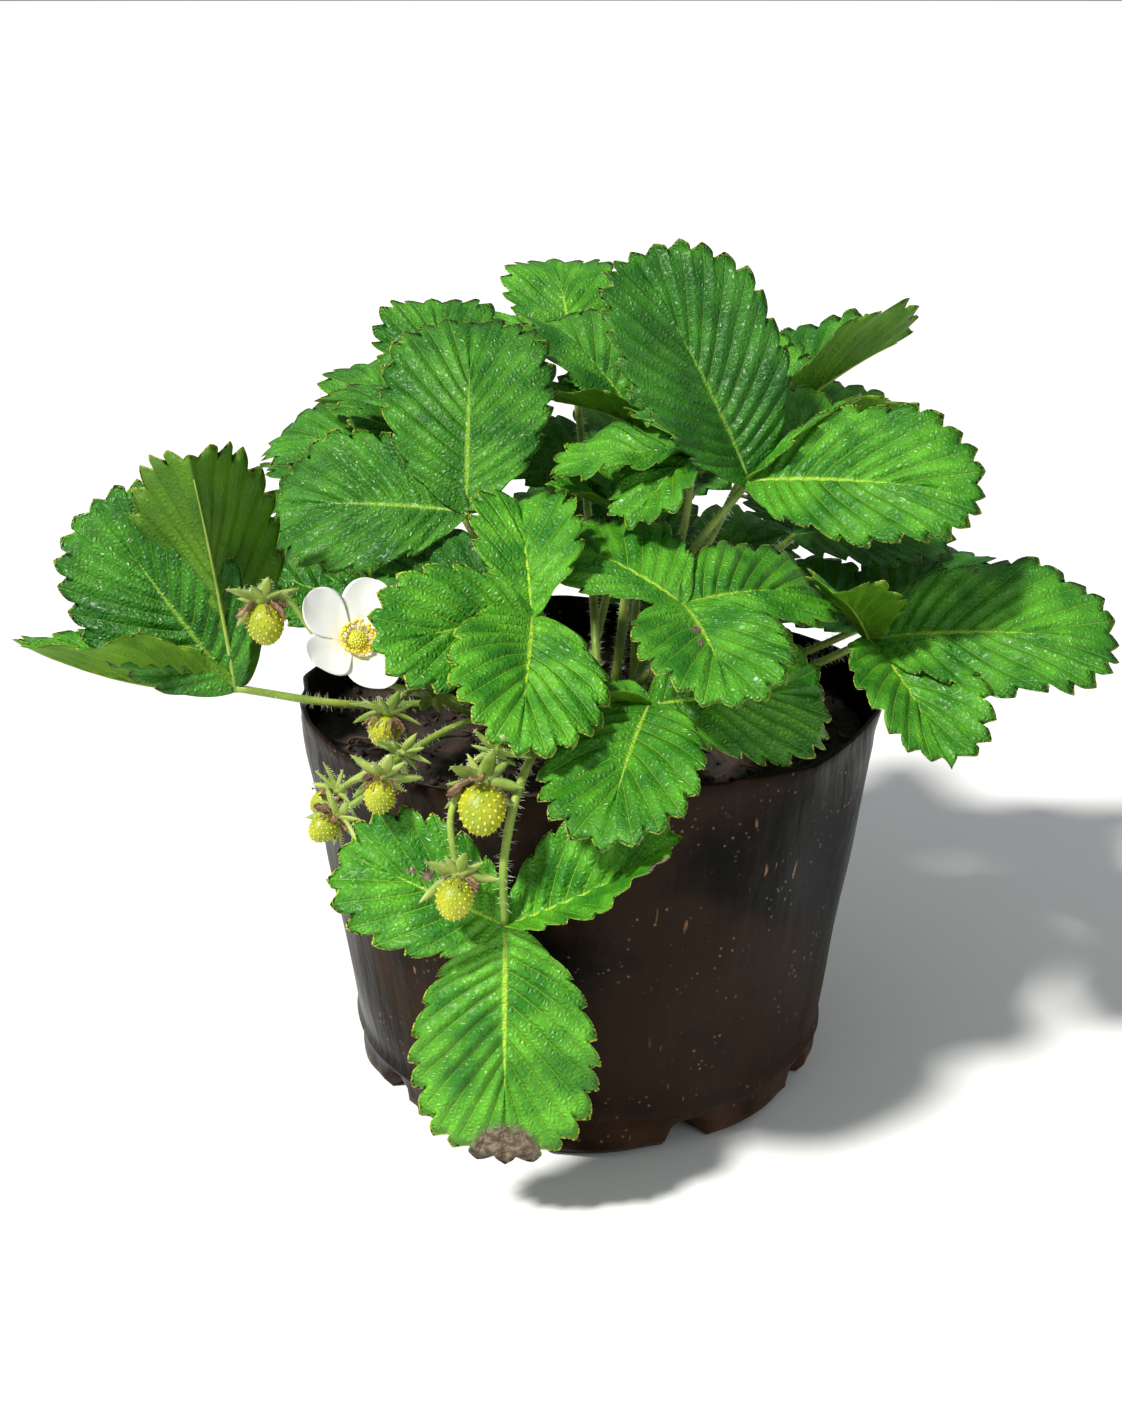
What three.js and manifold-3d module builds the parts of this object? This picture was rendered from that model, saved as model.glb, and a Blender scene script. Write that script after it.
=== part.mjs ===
// A strawberry plant in a soft black nursery pot: pot, soil, crown, leaves of three toothed leaflets,
// one open flower and trusses of small green berries. Millimetres, +Z up, origin under the pot's centre.
import * as THREE from "three";
import { mergeVertices } from "three/addons/utils/BufferGeometryUtils.js";
import Module from "manifold-3d";

const wasm = await Module();
wasm.setup();

// ---- driving dimensions ----
const POT_HEIGHT = 110;
const RIM_RADIUS = 80;
const BASE_RADIUS = 65;
const POT_WALL = 1.4;
const POT_FLOOR = 2.2;
const RIDGE_HEIGHT = 12; // the faint ridge round the foot of the wall
const RIM_WAVE = 2.2; // how far the soft rim leans in and out
const RIM_DIP = 1.6; // how far it rises and falls
const DRAIN_COUNT = 9;
const DRAIN_WIDTH = 9;
const DRAIN_HEIGHT = 7;
const SOIL_LEVEL = 99; // mean height of the soil's surface
const SOIL_LUMP = 1.5; // how far its crumbs rise and fall
const POT_FACETS = 32;
const SOIL_FACETS = 20;
const CLEAR = 0.35; // gap between pieces that rest on each other
const GRAIN = 1e-3; // vertices closer than this are one

const BLADE_THICK = 0.7;
const BLADE_WIDE = 0.35; // half the width of a leaflet over its length
const TOOTH_SPACING = 10.5; // so that a longer leaflet has more teeth
const TEETH_FROM = 0.27; // where they start along the margin
const TOOTH_DEPTH = 3;
const HUB_LAP = 0.8; // how far leaflets reach back past their hub, to cross and hold together
const PETIOLE_RADIUS = 1.4;
const FOOT_DEPTH = 5; // how far a stem stands in the soil
const HOLE_PLAY = 1; // between a stem and the wall of its hole
const FOOT_SLOTS = 28; // places for petioles round the crown
const CROWN_RADIUS = 6.5;
const CROWN_HEIGHT = 16;
const STALK_RADIUS = 0.9; // of a truss
const FLESH_THICK = 0.65; // of petals and sepals
const SEPALS = 10; // long and short in turn
const SEPAL_LENGTH = 9;
const SEPAL_VALLEY = 2.4; // from the middle to the notches between sepals
const PETAL_LENGTH = 16;
const PETALS = 5;
const PETAL_TURN = -28; // degrees from the first petal to the side
const PETAL_SPOKES = 6; // points along each petal's edge
const BERRY_RADIUS = 5.4;
const BERRY_LONG = 1.12; // its length over its width
const SEED_HEIGHT = 0.45;

// ---- materials ----
const paint = (color, roughness) => new THREE.MeshStandardMaterial({ color, roughness, metalness: 0 });
const MATERIALS = {
  pot: paint(0x2b221d, 0.45),
  soil: paint(0x2a1d15, 0.95),
  crown: paint(0x6d5a35, 0.8),
  leaf: paint(0x2f8f3a, 0.5),
  stem: paint(0xa4bf45, 0.55),
  petal: paint(0xf4f6ef, 0.5),
  disc: paint(0xf0cf1a, 0.6),
  berry: paint(0xb9c23a, 0.5),
};

// ---- small helpers ----
const radians = THREE.MathUtils.degToRad;
const { lerp, smoothstep } = THREE.MathUtils;
const point = (p) => new THREE.Vector3(...p);

// The unit vector at a heading (0 is +X, 90 is +Y) and a rise above the horizon, in degrees.
const along = (heading, rise) =>
  new THREE.Vector3(
    Math.cos(radians(rise)) * Math.cos(radians(heading)),
    Math.cos(radians(rise)) * Math.sin(radians(heading)),
    Math.sin(radians(rise)),
  );

// A closed geometry as a manifold-3d solid.
function solid(geometry) {
  const bare = new THREE.BufferGeometry();
  const open = geometry.index ? geometry.toNonIndexed() : geometry;
  bare.setAttribute("position", open.getAttribute("position"));
  const merged = mergeVertices(bare, GRAIN);
  const ids = merged.index.array;
  const kept = [];
  for (let i = 0; i < ids.length; i += 3) {
    const [a, b, c] = [ids[i], ids[i + 1], ids[i + 2]];
    if (a !== b && b !== c && c !== a) kept.push(a, b, c);
  }
  const vertProperties = merged.attributes.position.array;
  return new wasm.Manifold(new wasm.Mesh({ numProp: 3, vertProperties, triVerts: new Uint32Array(kept) }));
}

const joined = (solids) => solids.reduce((all, next) => all.add(next));

// The largest body of a solid, without the loose scraps that a union can leave.
const largest = (body) => body.decompose().sort((a, b) => b.volume() - a.volume())[0];

function geometryOf(body) {
  const found = body.getMesh();
  const geometry = new THREE.BufferGeometry();
  const xyz = found.vertProperties.map((value) => Math.round(value / GRAIN) * GRAIN);
  geometry.setAttribute("position", new THREE.BufferAttribute(xyz, 3));
  geometry.setIndex(new THREE.BufferAttribute(found.triVerts, 1));
  return geometry;
}

// A named mesh of a solid, with its vertices set to the grain and merged, and its loose scraps left out.
function mesh(name, body, material) {
  const made = new THREE.Mesh(geometryOf(largest(solid(geometryOf(body)))), MATERIALS[material]);
  made.name = name;
  return made;
}

// A round stem through the points, as a tube with few sides.
function stem(points, radius, sides = 5, steps = 6) {
  const extrudePath = new THREE.CatmullRomCurve3(points.map(point), false, "catmullrom", 0.5);
  const ring = [];
  for (let i = 0; i < sides; i++) {
    const turn = (2 * Math.PI * i) / sides;
    ring.push(new THREE.Vector2(radius * Math.cos(turn), radius * Math.sin(turn)));
  }
  const options = { extrudePath, steps, bevelEnabled: false };
  return solid(new THREE.ExtrudeGeometry(new THREE.Shape(ring), options));
}

// A thin sheet from rows of points, each with a top and an underside point from left to right. Both faces
// are split into triangles alike, so that a waved sheet never crosses itself. The rows of a round sheet run
// right round, from one point in its middle.
function sheet(rows, round = false) {
  const wide = rows[0].length;
  const last = rows.length - 1;
  const id = (row, column, face) => (row * wide + column) * 2 + face;
  const faces = [];
  const quad = (a, b, c, d) => faces.push(a, b, c, a, c, d);
  for (let row = 0; row < last; row++) {
    for (let column = 0; column + 1 < wide; column++) {
      // the diagonals lean the same way from the midrib on both halves
      const corners = [[row, column], [row, column + 1], [row + 1, column + 1], [row + 1, column]];
      const start = column < wide / 2 - 0.5 ? 1 : 0;
      const [a, b, c, d] = [0, 1, 2, 3].map((i) => corners[(i + start) % 4]);
      quad(id(...a, 0), id(...b, 0), id(...c, 0), id(...d, 0));
      faces.push(id(...a, 1), id(...c, 1), id(...b, 1), id(...a, 1), id(...d, 1), id(...c, 1));
    }
    if (round) continue;
    quad(id(row, 0, 0), id(row + 1, 0, 0), id(row + 1, 0, 1), id(row, 0, 1));
    quad(id(row, wide - 1, 0), id(row, wide - 1, 1), id(row + 1, wide - 1, 1), id(row + 1, wide - 1, 0));
  }
  for (let column = 0; column + 1 < wide; column++) {
    if (!round) quad(id(0, column, 0), id(0, column, 1), id(0, column + 1, 1), id(0, column + 1, 0));
    quad(id(last, column, 0), id(last, column + 1, 0), id(last, column + 1, 1), id(last, column, 1));
  }
  const geometry = new THREE.BufferGeometry().setFromPoints(rows.flat(2));
  geometry.setIndex(faces);
  return solid(geometry);
}

// ---- pot and soil ----
const wallRadius = (z) => lerp(BASE_RADIUS, RIM_RADIUS, z / POT_HEIGHT);

// The soft rim leans in and out and dips, more and more above the soil.
function crumple(geometry) {
  const places = geometry.attributes.position;
  for (let i = 0; i < places.count; i++) {
    const [x, y, z] = [places.getX(i), places.getY(i), places.getZ(i)];
    const turn = Math.atan2(y, x);
    const share = smoothstep(z, SOIL_LEVEL - 6, POT_HEIGHT);
    const lean = RIM_WAVE * share * (0.6 * Math.sin(3 * turn + 0.6) + 0.4 * Math.sin(7 * turn + 2));
    const grow = 1 + lean / Math.max(Math.hypot(x, y), 1);
    const dip = RIM_DIP * share * Math.sin(4 * turn + 1);
    places.setXYZ(i, x * grow, y * grow, z + dip);
  }
  return geometry;
}

function makePot() {
  const profile = [
    [0, 0],
    [BASE_RADIUS - 3, 0],
    [BASE_RADIUS + 0.4, 4],
    [wallRadius(RIDGE_HEIGHT - 1.5), RIDGE_HEIGHT - 1.5],
    [wallRadius(RIDGE_HEIGHT) + 0.8, RIDGE_HEIGHT],
    [wallRadius(RIDGE_HEIGHT + 1.5), RIDGE_HEIGHT + 1.5],
    [wallRadius(94), 94],
    [RIM_RADIUS + 0.3, POT_HEIGHT - 1],
    [RIM_RADIUS - 0.5, POT_HEIGHT],
    [RIM_RADIUS - POT_WALL, POT_HEIGHT - 1],
    [wallRadius(94) - POT_WALL, 94],
    [wallRadius(8) - POT_WALL, 8],
    [BASE_RADIUS - 4, POT_FLOOR],
    [0, POT_FLOOR],
  ];
  const shell = new THREE.LatheGeometry(profile.map(([r, z]) => new THREE.Vector2(r, z)), POT_FACETS);
  let pot = solid(crumple(shell.rotateX(Math.PI / 2)));
  for (let i = 0; i < DRAIN_COUNT; i++) {
    const notch = new THREE.CylinderGeometry(DRAIN_WIDTH / 2, DRAIN_WIDTH / 2, 14, 6);
    notch.rotateZ(Math.PI / 2).scale(1, 1, DRAIN_HEIGHT / (DRAIN_WIDTH / 2));
    notch.translate(BASE_RADIUS - 2, 0, 0).rotateZ(radians((360 / DRAIN_COUNT) * (i + 0.35)));
    pot = pot.subtract(solid(notch));
  }
  return mesh("pot", pot, "pot");
}

// The soil's surface in crumbs and hollows.
function soilHeight(x, y) {
  const hollows = Math.sin(x / 5 + y / 11) * Math.cos(y / 6);
  const crumbs = Math.sin(x / 2.9 + 1) * Math.sin(y / 3.3);
  return SOIL_LEVEL + SOIL_LUMP * 0.5 * (hollows + crumbs);
}

function makeSoil(holes) {
  const edge = (z) => wallRadius(z) - POT_WALL - CLEAR - 0.6;
  const shoulder = SOIL_LEVEL - 5;
  const top = edge(shoulder);
  const bottom = POT_FLOOR + CLEAR;
  const profile = [[0, bottom], [edge(0) - 5, bottom], [edge(10), 12], [top, shoulder]];
  const rings = 5;
  for (let i = 0; i <= rings; i++) profile.push([top * (1 - i / rings), SOIL_LEVEL]);
  const geometry = new THREE.LatheGeometry(profile.map(([r, z]) => new THREE.Vector2(r, z)), SOIL_FACETS);
  geometry.rotateX(Math.PI / 2);
  const places = geometry.attributes.position;
  for (let i = 0; i < places.count; i++) {
    const [x, y, z] = [places.getX(i), places.getY(i), places.getZ(i)];
    if (z > SOIL_LEVEL - 1) places.setZ(i, soilHeight(x, y));
  }
  let soil = solid(geometry);
  for (const { place, radius, depth } of holes) {
    const hole = new THREE.CylinderGeometry(radius, radius, depth + 12, 6).rotateX(Math.PI / 2);
    soil = soil.subtract(solid(hole.translate(place[0], place[1], SOIL_LEVEL - depth + (depth + 12) / 2)));
  }
  return mesh("soil", soil, "soil");
}

// The stubby woody crown, ringed by the scars of old leaves.
function makeCrown() {
  const foot = SOIL_LEVEL - FOOT_DEPTH;
  const rings = 6;
  const profile = [new THREE.Vector2(0, foot)];
  for (let i = 0; i <= rings; i++) {
    const up = i / rings;
    const swell = CROWN_RADIUS * Math.cos((up * Math.PI) / 2.6) * (i % 2 ? 1 : 0.88);
    profile.push(new THREE.Vector2(swell, foot + CROWN_HEIGHT * up));
  }
  profile.push(new THREE.Vector2(0, foot + CROWN_HEIGHT + 1));
  return mesh("crown", solid(new THREE.LatheGeometry(profile, 8).rotateX(Math.PI / 2)), "crown");
}

// ---- leaflet ----
// A leaflet is laid out flat as shares of its length, x across and y from base to tip, and then bent. u runs
// along the margin from the base, 0, to the tip, 1.
const marginX = (u) => BLADE_WIDE * Math.sin(Math.PI * u ** 1.06);
const marginY = (u) => Math.sin((Math.PI / 2) * u) ** 1.75;

// Each row runs from the midrib, at y = rib, to the margin at u, which a tooth carries further out.
function bladeRows(length) {
  const teeth = Math.round(length / TOOTH_SPACING);
  const depth = TOOTH_DEPTH / length;
  const step = (1 - TEETH_FROM) / (teeth + 0.5);
  const rows = [{ u: 0, rib: 0, out: 0 }, { u: 0.15, rib: 0.08, out: 0 }];
  for (let k = 0; k <= teeth; k++) {
    const notch = TEETH_FROM + step * k;
    const rib = 0.95 * (TEETH_FROM + step * 2 * Math.floor(k / 2) - 0.1);
    rows.push({ u: notch, rib, out: 0 });
    if (k < teeth) rows.push({ u: notch + step * 0.7, rib, out: depth });
  }
  rows.push({ u: 1, rib: 0.9, out: depth });
  return rows;
}

// The place of a point of the bent leaflet. side is 1 on the right, -1 on the left and 0 on the midrib, and
// lift is how far it lies above the blade's middle.
function bladePoint(blade, side, x, y, lift) {
  const [heading, rise, length, roll, fold, { arch = 25, curl = 10, open = 0, wave = 0.015 } = {}] = blade;
  const ahead = along(heading, rise);
  const flat = along(heading, rise + 90);
  const across = ahead.clone().cross(flat);
  const up = flat.multiplyScalar(Math.cos(radians(roll))).addScaledVector(across, Math.sin(radians(roll)));
  const right = ahead.clone().cross(up);
  // the midrib is an arc, level half way along
  const half = radians(arch) / 2;
  const turn = half * (2 * y - 1);
  const bow = (length * 0.5) / Math.sin(half);
  const place = ahead
    .clone()
    .multiplyScalar(bow * (Math.sin(turn) + Math.sin(half)))
    .addScaledVector(up, bow * (Math.cos(turn) - Math.cos(half)));
  const normal = up.clone().multiplyScalar(Math.cos(turn)).addScaledVector(ahead, Math.sin(turn));
  // each half rises from the midrib by its fold, less towards the tip by open, and rolls down by curl
  const slope = radians(fold[side > 0 ? 1 : 0] - open * y);
  const bend = radians(-curl) * (x / BLADE_WIDE) - 1e-4;
  const reach = (length * x * (Math.sin(slope + bend) - Math.sin(slope))) / bend;
  const climb = (length * x * (Math.cos(slope) - Math.cos(slope + bend))) / bend;
  const ripple = length * wave * Math.sin(14 * y + heading) * (x / BLADE_WIDE);
  place.addScaledVector(right, side * reach).addScaledVector(normal, climb + ripple);
  // thickness is square to the half, and on the midrib square to the middle of both
  const tilt = side === 0 ? 0 : slope + bend;
  return place
    .addScaledVector(normal, lift * Math.cos(tilt))
    .addScaledVector(right, -side * lift * Math.sin(tilt));
}

function leaflet(hub, blade) {
  const base = hub.clone().addScaledVector(along(blade[0], blade[1]), -HUB_LAP);
  const rows = bladeRows(blade[2]).map(({ u, rib, out }) =>
    [-1, 0, 1].map((side) =>
      [0.5, -0.5].map((face) => {
        const tip = u === 1;
        const x = tip ? 0 : marginX(u) + out * 0.9;
        const y = marginY(u) + out * (tip ? 0.8 : 0.35);
        const where = side === 0 ? [0, 0, rib] : [tip ? 0 : side, x, y];
        return bladePoint(blade, ...where, BLADE_THICK * face).add(base);
      }),
    ),
  );
  return sheet(rows);
}

// ---- leaves ----
// Each has the slot round the crown that its petiole stands in, the points that the petiole passes, the last
// of which is the hub of its leaflets, and for each leaflet [heading, rise, length, roll, [left and right
// fold], {the rest}].
const LEAVES = {
  top_right: {
    slot: 25,
    route: [[24, -12, 146], [42, -5, 169]],
    leaflets: [
      [154, 59, 66, -40, [25, 16]],
      [-15, 0, 60, 45, [12, 22]],
      [42, 20, 40, 0, [40, 40]],
    ],
  },
  right_back: {
    slot: 2,
    route: [[34, 22, 145], [48, 32, 171]],
    leaflets: [
      [32, 25, 60, 0, [30, 60]],
      [85, 45, 36, 0, [20, 20]],
      [20, 2, 46, 0, [40, 40]],
    ],
  },
  top_middle: {
    slot: 4,
    route: [[12, 22, 145], [15, 36, 174]],
    leaflets: [
      [128, 30, 50, 0, [20, 20]],
      [66, 20, 46, 0, [20, 20]],
      [-165, 20, 30, 0, [35, 35]],
    ],
  },
  top_left: {
    slot: 12,
    route: [[-22, 2, 135], [-33, -3, 160]],
    leaflets: [
      [90, 41, 64, 0, [15, 15]],
      [161, -3, 56, -50, [12, 12]],
      [50, -15, 36, 0, [20, 20]],
    ],
  },
  back_left: {
    slot: 8,
    route: [[-25, 20, 145], [-37, 28, 173]],
    leaflets: [
      [102, 38, 52, 0, [15, 15]],
      [168, 14, 40, 0, [15, 15]],
      [50, 0, 34, 0, [15, 15]],
    ],
  },
  front_left: {
    slot: 18,
    route: [[-12, -32, 126], [-15, -42, 143]],
    leaflets: [
      [-150, -1, 43, -55, [20, 10]],
      [-93, -19, 52, -10, [5, 25]],
      [96, 29, 42, 0, [35, 35]],
    ],
  },
  front_middle: {
    slot: 24,
    route: [[20, -28, 129], [23, -38, 145]],
    leaflets: [
      [132, 8, 50, -15, [15, 15]],
      [34, -6, 46, 25, [15, 15]],
      [-79, -10, 50, 0, [12, 12]],
    ],
  },
  front_low: {
    slot: 23,
    route: [[10, -46, 114], [14, -60, 126]],
    leaflets: [
      [-105, -20, 50, 0, [12, 12]],
      [29, -7, 52, 50, [15, 15]],
      [165, -14, 36, 0, [40, 20]],
    ],
  },
  hanging: {
    slot: 22,
    route: [[-2, -34, 113], [-10, -62, 121], [-17, -84, 116], [-21, -93, 100], [-21, -92, 82]],
    leaflets: [
      [-93, -84, 60, 0, [8, 8], { arch: 15 }],
      [-9, 31, 48, 48, [18, 58], { arch: -40 }],
      [166, 20, 43, -60, [15, 15]],
    ],
  },
  left: {
    slot: 15,
    route: [[-60, -22, 112], [-93, -28, 119]],
    leaflets: [
      [158, 50, 60, -66, [12, 12]],
      [-125, 80, 64, 41, [50, 42]],
      [178, 12, 58, -10, [95, 45], { arch: -35, open: 60 }],
    ],
  },
  right: {
    slot: 27,
    route: [[50, -10, 115], [75, -12, 127]],
    leaflets: [
      [-8, 2, 64, 30, [12, 12]],
      [-70, -24, 48, 0, [25, 25]],
      [-119, 37, 34, 0, [30, 30]],
    ],
  },
  right_shaded: {
    slot: 1,
    route: [[52, 12, 112], [77, 14, 122]],
    leaflets: [
      [40, 17, 48, 0, [10, 10]],
      [115, 15, 38, 0, [10, 10]],
      [168, 8, 36, -10, [12, 12]],
    ],
  },
  back_top: {
    slot: 6,
    route: [[0, 40, 150], [-4, 66, 188]],
    leaflets: [
      [98, 30, 48, 0, [15, 15]],
      [155, 18, 32, 0, [15, 15]],
      [65, -8, 36, 0, [20, 20]],
    ],
  },
  middle_shaded: {
    slot: 16,
    route: [[-12, -20, 126], [-18, -24, 142]],
    leaflets: [
      [157, 2, 42, -35, [12, 12]],
      [-172, -4, 32, -20, [12, 12]],
    ],
  },
  far_left: {
    slot: 11,
    route: [[-30, 28, 140], [-46, 42, 165]],
    leaflets: [
      [122, 24, 48, -10, [12, 12]],
      [160, 0, 50, -20, [12, 12]],
    ],
  },
  crinkled: {
    slot: 26,
    route: [[24, 0, 148], [28, 0, 176]],
    leaflets: [
      [176, -10, 38, -10, [15, 15], { wave: 0.05 }],
      [110, 4, 30, 0, [30, 30]],
      [-132, -32, 30, 0, [20, 20]],
    ],
  },
  young: {
    slot: 0,
    route: [[13, 3, 142], [13, 9, 154]],
    leaflets: [
      [122, 28, 30, 0, [35, 35]],
      [-172, 24, 26, -10, [30, 30]],
      [40, 22, 30, 0, [35, 35]],
    ],
  },
  behind_left: {
    slot: 9,
    route: [[-38, 44, 128], [-56, 66, 144]],
    leaflets: [
      [140, 5, 52, 0, [12, 12]],
      [70, 8, 50, 0, [12, 12]],
      [-165, 2, 44, 0, [12, 12]],
    ],
  },
  behind_middle: {
    slot: 7,
    route: [[8, 50, 130], [12, 64, 152]],
    leaflets: [
      [80, 15, 56, 0, [12, 12]],
      [-8, 12, 46, 25, [12, 12]],
      [168, 12, 44, -25, [12, 12]],
    ],
  },
  behind_right: {
    slot: 3,
    route: [[40, 40, 124], [62, 54, 138]],
    leaflets: [
      [50, 0, 56, 0, [12, 12]],
      [84, 5, 42, 0, [12, 12]],
      [-15, 3, 46, 25, [12, 12]],
    ],
  },
  behind_low: {
    slot: 5,
    route: [[11, 48, 109], [14, 68, 112]],
    leaflets: [
      [92, 42, 58, 0, [12, 12]],
      [145, 34, 52, -15, [12, 12]],
      [22, 18, 56, 20, [12, 12]],
    ],
  },
  left_low: {
    slot: 13,
    route: [[-34, 10, 113], [-62, 26, 122]],
    leaflets: [
      [98, 32, 40, 0, [12, 12]],
      [165, 15, 44, -30, [12, 12]],
      [25, 15, 28, 10, [20, 20]],
    ],
  },
};

// Petioles stand in two rings round the crown, in turn near and far.
function slotPlace(slot) {
  const turn = radians((360 / FOOT_SLOTS) * slot);
  const radius = CROWN_RADIUS + (slot % 2 ? 12 : 6);
  return [radius * Math.cos(turn), radius * Math.sin(turn)];
}

// The upright start of a stem in its hole.
function standing(slot) {
  const [x, y] = slotPlace(slot);
  return [SOIL_LEVEL - FOOT_DEPTH + CLEAR, SOIL_LEVEL + 2, SOIL_LEVEL + 8].map((z) => [x, y, z]);
}

function makeLeaf(name, { slot, route, leaflets }) {
  const hub = point(route.at(-1));
  const parts = leaflets.map((blade) => leaflet(hub, blade));
  parts.push(stem([...standing(slot), ...route], PETIOLE_RADIUS, 4, 4 + route.length));
  return mesh(`leaf_${name}`, joined(parts), "leaf");
}

// ---- flower and berries ----
// The turn that stands +Z along an axis, at a place.
const standAt = (place, axis) =>
  new THREE.Matrix4().makeRotationFromQuaternion(
    new THREE.Quaternion().setFromUnitVectors(new THREE.Vector3(0, 0, 1), point(axis).normalize()),
  ).setPosition(...place);

const alongAxis = (place, axis, distance) => point(place).addScaledVector(point(axis).normalize(), distance);

// A round thin sheet of lobes, round its middle at the origin and facing +Z. reach gives the radius of its
// edge at a turn, and rise the height at a share of that radius and a turn.
function rosette(spokes, rings, reach, rise) {
  const rows = rings.map((share) =>
    Array.from({ length: spokes + 1 }, (_, i) => {
      const turn = (-2 * Math.PI * (i % spokes)) / spokes;
      const radius = share * reach(i % spokes);
      const height = rise(share, i % spokes);
      const spot = new THREE.Vector3(radius * Math.cos(turn), radius * Math.sin(turn), height);
      return [0.5, -0.5].map((face) => spot.clone().setZ(spot.z + face * FLESH_THICK));
    }),
  );
  return sheet(rows, true);
}

// The ring of sepals that carries a berry or a flower: five long and five short, bent back by droop.
function calyx(place, axis, size, droop) {
  const reach = (i) => size * (i % 2 ? SEPAL_VALLEY : i % 4 ? SEPAL_LENGTH * 0.75 : SEPAL_LENGTH);
  const rise = (share, i) => (i % 2 ? 0 : -droop * size * share);
  return rosette(2 * SEPALS, [0, 1], reach, rise).transform(standAt(place, axis).toArray());
}

// A young berry: an egg with each seed as a raised point.
function makeBerry(name, { place, axis, size }) {
  const radius = BERRY_RADIUS * size;
  const [turns, bands] = [8, 7];
  const isSeed = (band, column) => band > 0 && band < bands && (band + (column % turns)) % 2;
  const egg = new THREE.SphereGeometry(1, turns, bands);
  const places = egg.attributes.position;
  for (let i = 0; i < places.count; i++) {
    const spot = new THREE.Vector3().fromBufferAttribute(places, i);
    const raised = isSeed(Math.floor(i / (turns + 1)), i % (turns + 1)) ? SEED_HEIGHT * size : 0;
    const taper = radius * (1 + 0.12 * spot.y);
    spot.multiply(new THREE.Vector3(taper, radius * BERRY_LONG, taper));
    places.setXYZ(i, ...spot.setLength(spot.length() + raised));
  }
  const centre = alongAxis(place, axis, radius * BERRY_LONG + FLESH_THICK / 2 + CLEAR);
  egg.rotateX(Math.PI / 2).applyMatrix4(standAt(centre, point(axis).negate()));
  return mesh(`berry_${name}`, solid(egg), "berry");
}

// Berries by name: the middle of the calyx, the way the berry points, and its size.
const BERRIES = {
  left: { place: [-82, -45, 148], axis: [0.1, -0.2, -1], size: 0.85 },
  rim: { place: [-50, -66, 126], axis: [-0.15, 0.3, -1], size: 0.75 },
  small: { place: [-50, -83, 116], axis: [-0.1, -0.6, -0.8], size: 0.66 },
  low_left: { place: [-63, -68, 106], axis: [-0.8, -0.1, -0.6], size: 0.55 },
  under: { place: [-62, -78, 104], axis: [-0.7, -0.5, -0.5], size: 0.6 },
  front: { place: [-26, -89, 117], axis: [0, -0.75, -0.65], size: 1 },
  hanging: { place: [-32, -95, 96], axis: [-0.1, -0.65, -0.75], size: 0.8 },
};
const FLOWER = { place: [-59, -48, 138], axis: [0.3, -0.65, 0.7], size: 1.1 };

// Trusses: the slot that each stands in, and its branches, the first from the soil, with what each carries.
const TRUSSES = {
  flowering: {
    slot: 17,
    branches: [
      { route: [[-28, -30, 112], [-40, -42, 122], [-52, -45, 132]], carries: FLOWER },
      { route: [[-40, -42, 122], [-62, -44, 130], [-76, -45, 149]], carries: BERRIES.left },
      { route: [[-40, -42, 122], [-45, -54, 128]], carries: BERRIES.rim },
    ],
  },
  left: {
    slot: 19,
    branches: [
      { route: [[-18, -40, 112], [-30, -60, 122], [-46, -74, 118]], carries: BERRIES.small },
      { route: [[-46, -74, 118], [-56, -71, 112]], carries: BERRIES.low_left },
      { route: [[-46, -74, 118], [-54, -77, 110]], carries: BERRIES.under },
    ],
  },
  front: {
    slot: 21,
    branches: [
      { route: [[-10, -44, 112], [-18, -72, 119], [-23, -86, 123]], carries: BERRIES.front },
      { route: [[-23, -86, 123], [-33, -91, 112]], carries: BERRIES.hanging },
    ],
  },
};

function makeTruss(name, { slot, branches }) {
  const parts = branches.flatMap(({ route, carries }, i) => {
    const { place, axis, size } = carries;
    const end = alongAxis(place, axis, carries === FLOWER ? 0 : -FLESH_THICK / 4);
    const whole = [...(i === 0 ? standing(slot) : []), ...route, end.toArray()];
    const faces = carries === FLOWER ? axis : point(axis).negate();
    const droop = carries === FLOWER ? 1 : -1;
    return [stem(whole, STALK_RADIUS, 4, 2 * whole.length), calyx(place, faces, size, droop)];
  });
  return mesh(`truss_${name}`, joined(parts), "stem");
}

function makePetals() {
  const share = (i) => Math.abs(Math.sin((Math.PI * (i + 0.5)) / PETAL_SPOKES));
  const reach = (i) => PETAL_LENGTH * (0.34 + 0.66 * share(i) ** 0.5);
  const rise = (out, i) => PETAL_LENGTH * 0.36 * out ** 2 * share(i);
  const petals = rosette(PETAL_SPOKES * PETALS, [0, 0.3, 0.65, 1], reach, rise);
  const place = alongAxis(FLOWER.place, FLOWER.axis, FLESH_THICK + CLEAR + 0.05);
  const turned = petals.rotate([0, 0, PETAL_TURN]);
  return mesh("flower_petals", turned.transform(standAt(place, FLOWER.axis).toArray()), "petal");
}

// The yellow middle: a dome of pistils in a ring of anthers, each a raised point.
function makeFlowerMiddle() {
  const profile = [[0, 0], [2.6, 0], [3, 0.8], [2.1, 1.9], [0, 2.4]];
  const turns = 12;
  const dome = new THREE.LatheGeometry(profile.map(([r, z]) => new THREE.Vector2(r, z)), turns);
  const places = dome.attributes.position;
  for (let i = 0; i < places.count; i++) {
    const raised = Math.floor(i / profile.length) % 2 ? 1.12 : 1;
    places.setXYZ(i, places.getX(i) * raised, places.getY(i), places.getZ(i) * raised);
  }
  const place = alongAxis(FLOWER.place, FLOWER.axis, 1.5 * FLESH_THICK + 2 * CLEAR);
  dome.rotateX(Math.PI / 2).applyMatrix4(standAt(place, FLOWER.axis));
  return mesh("flower_middle", solid(dome), "disc");
}

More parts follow.
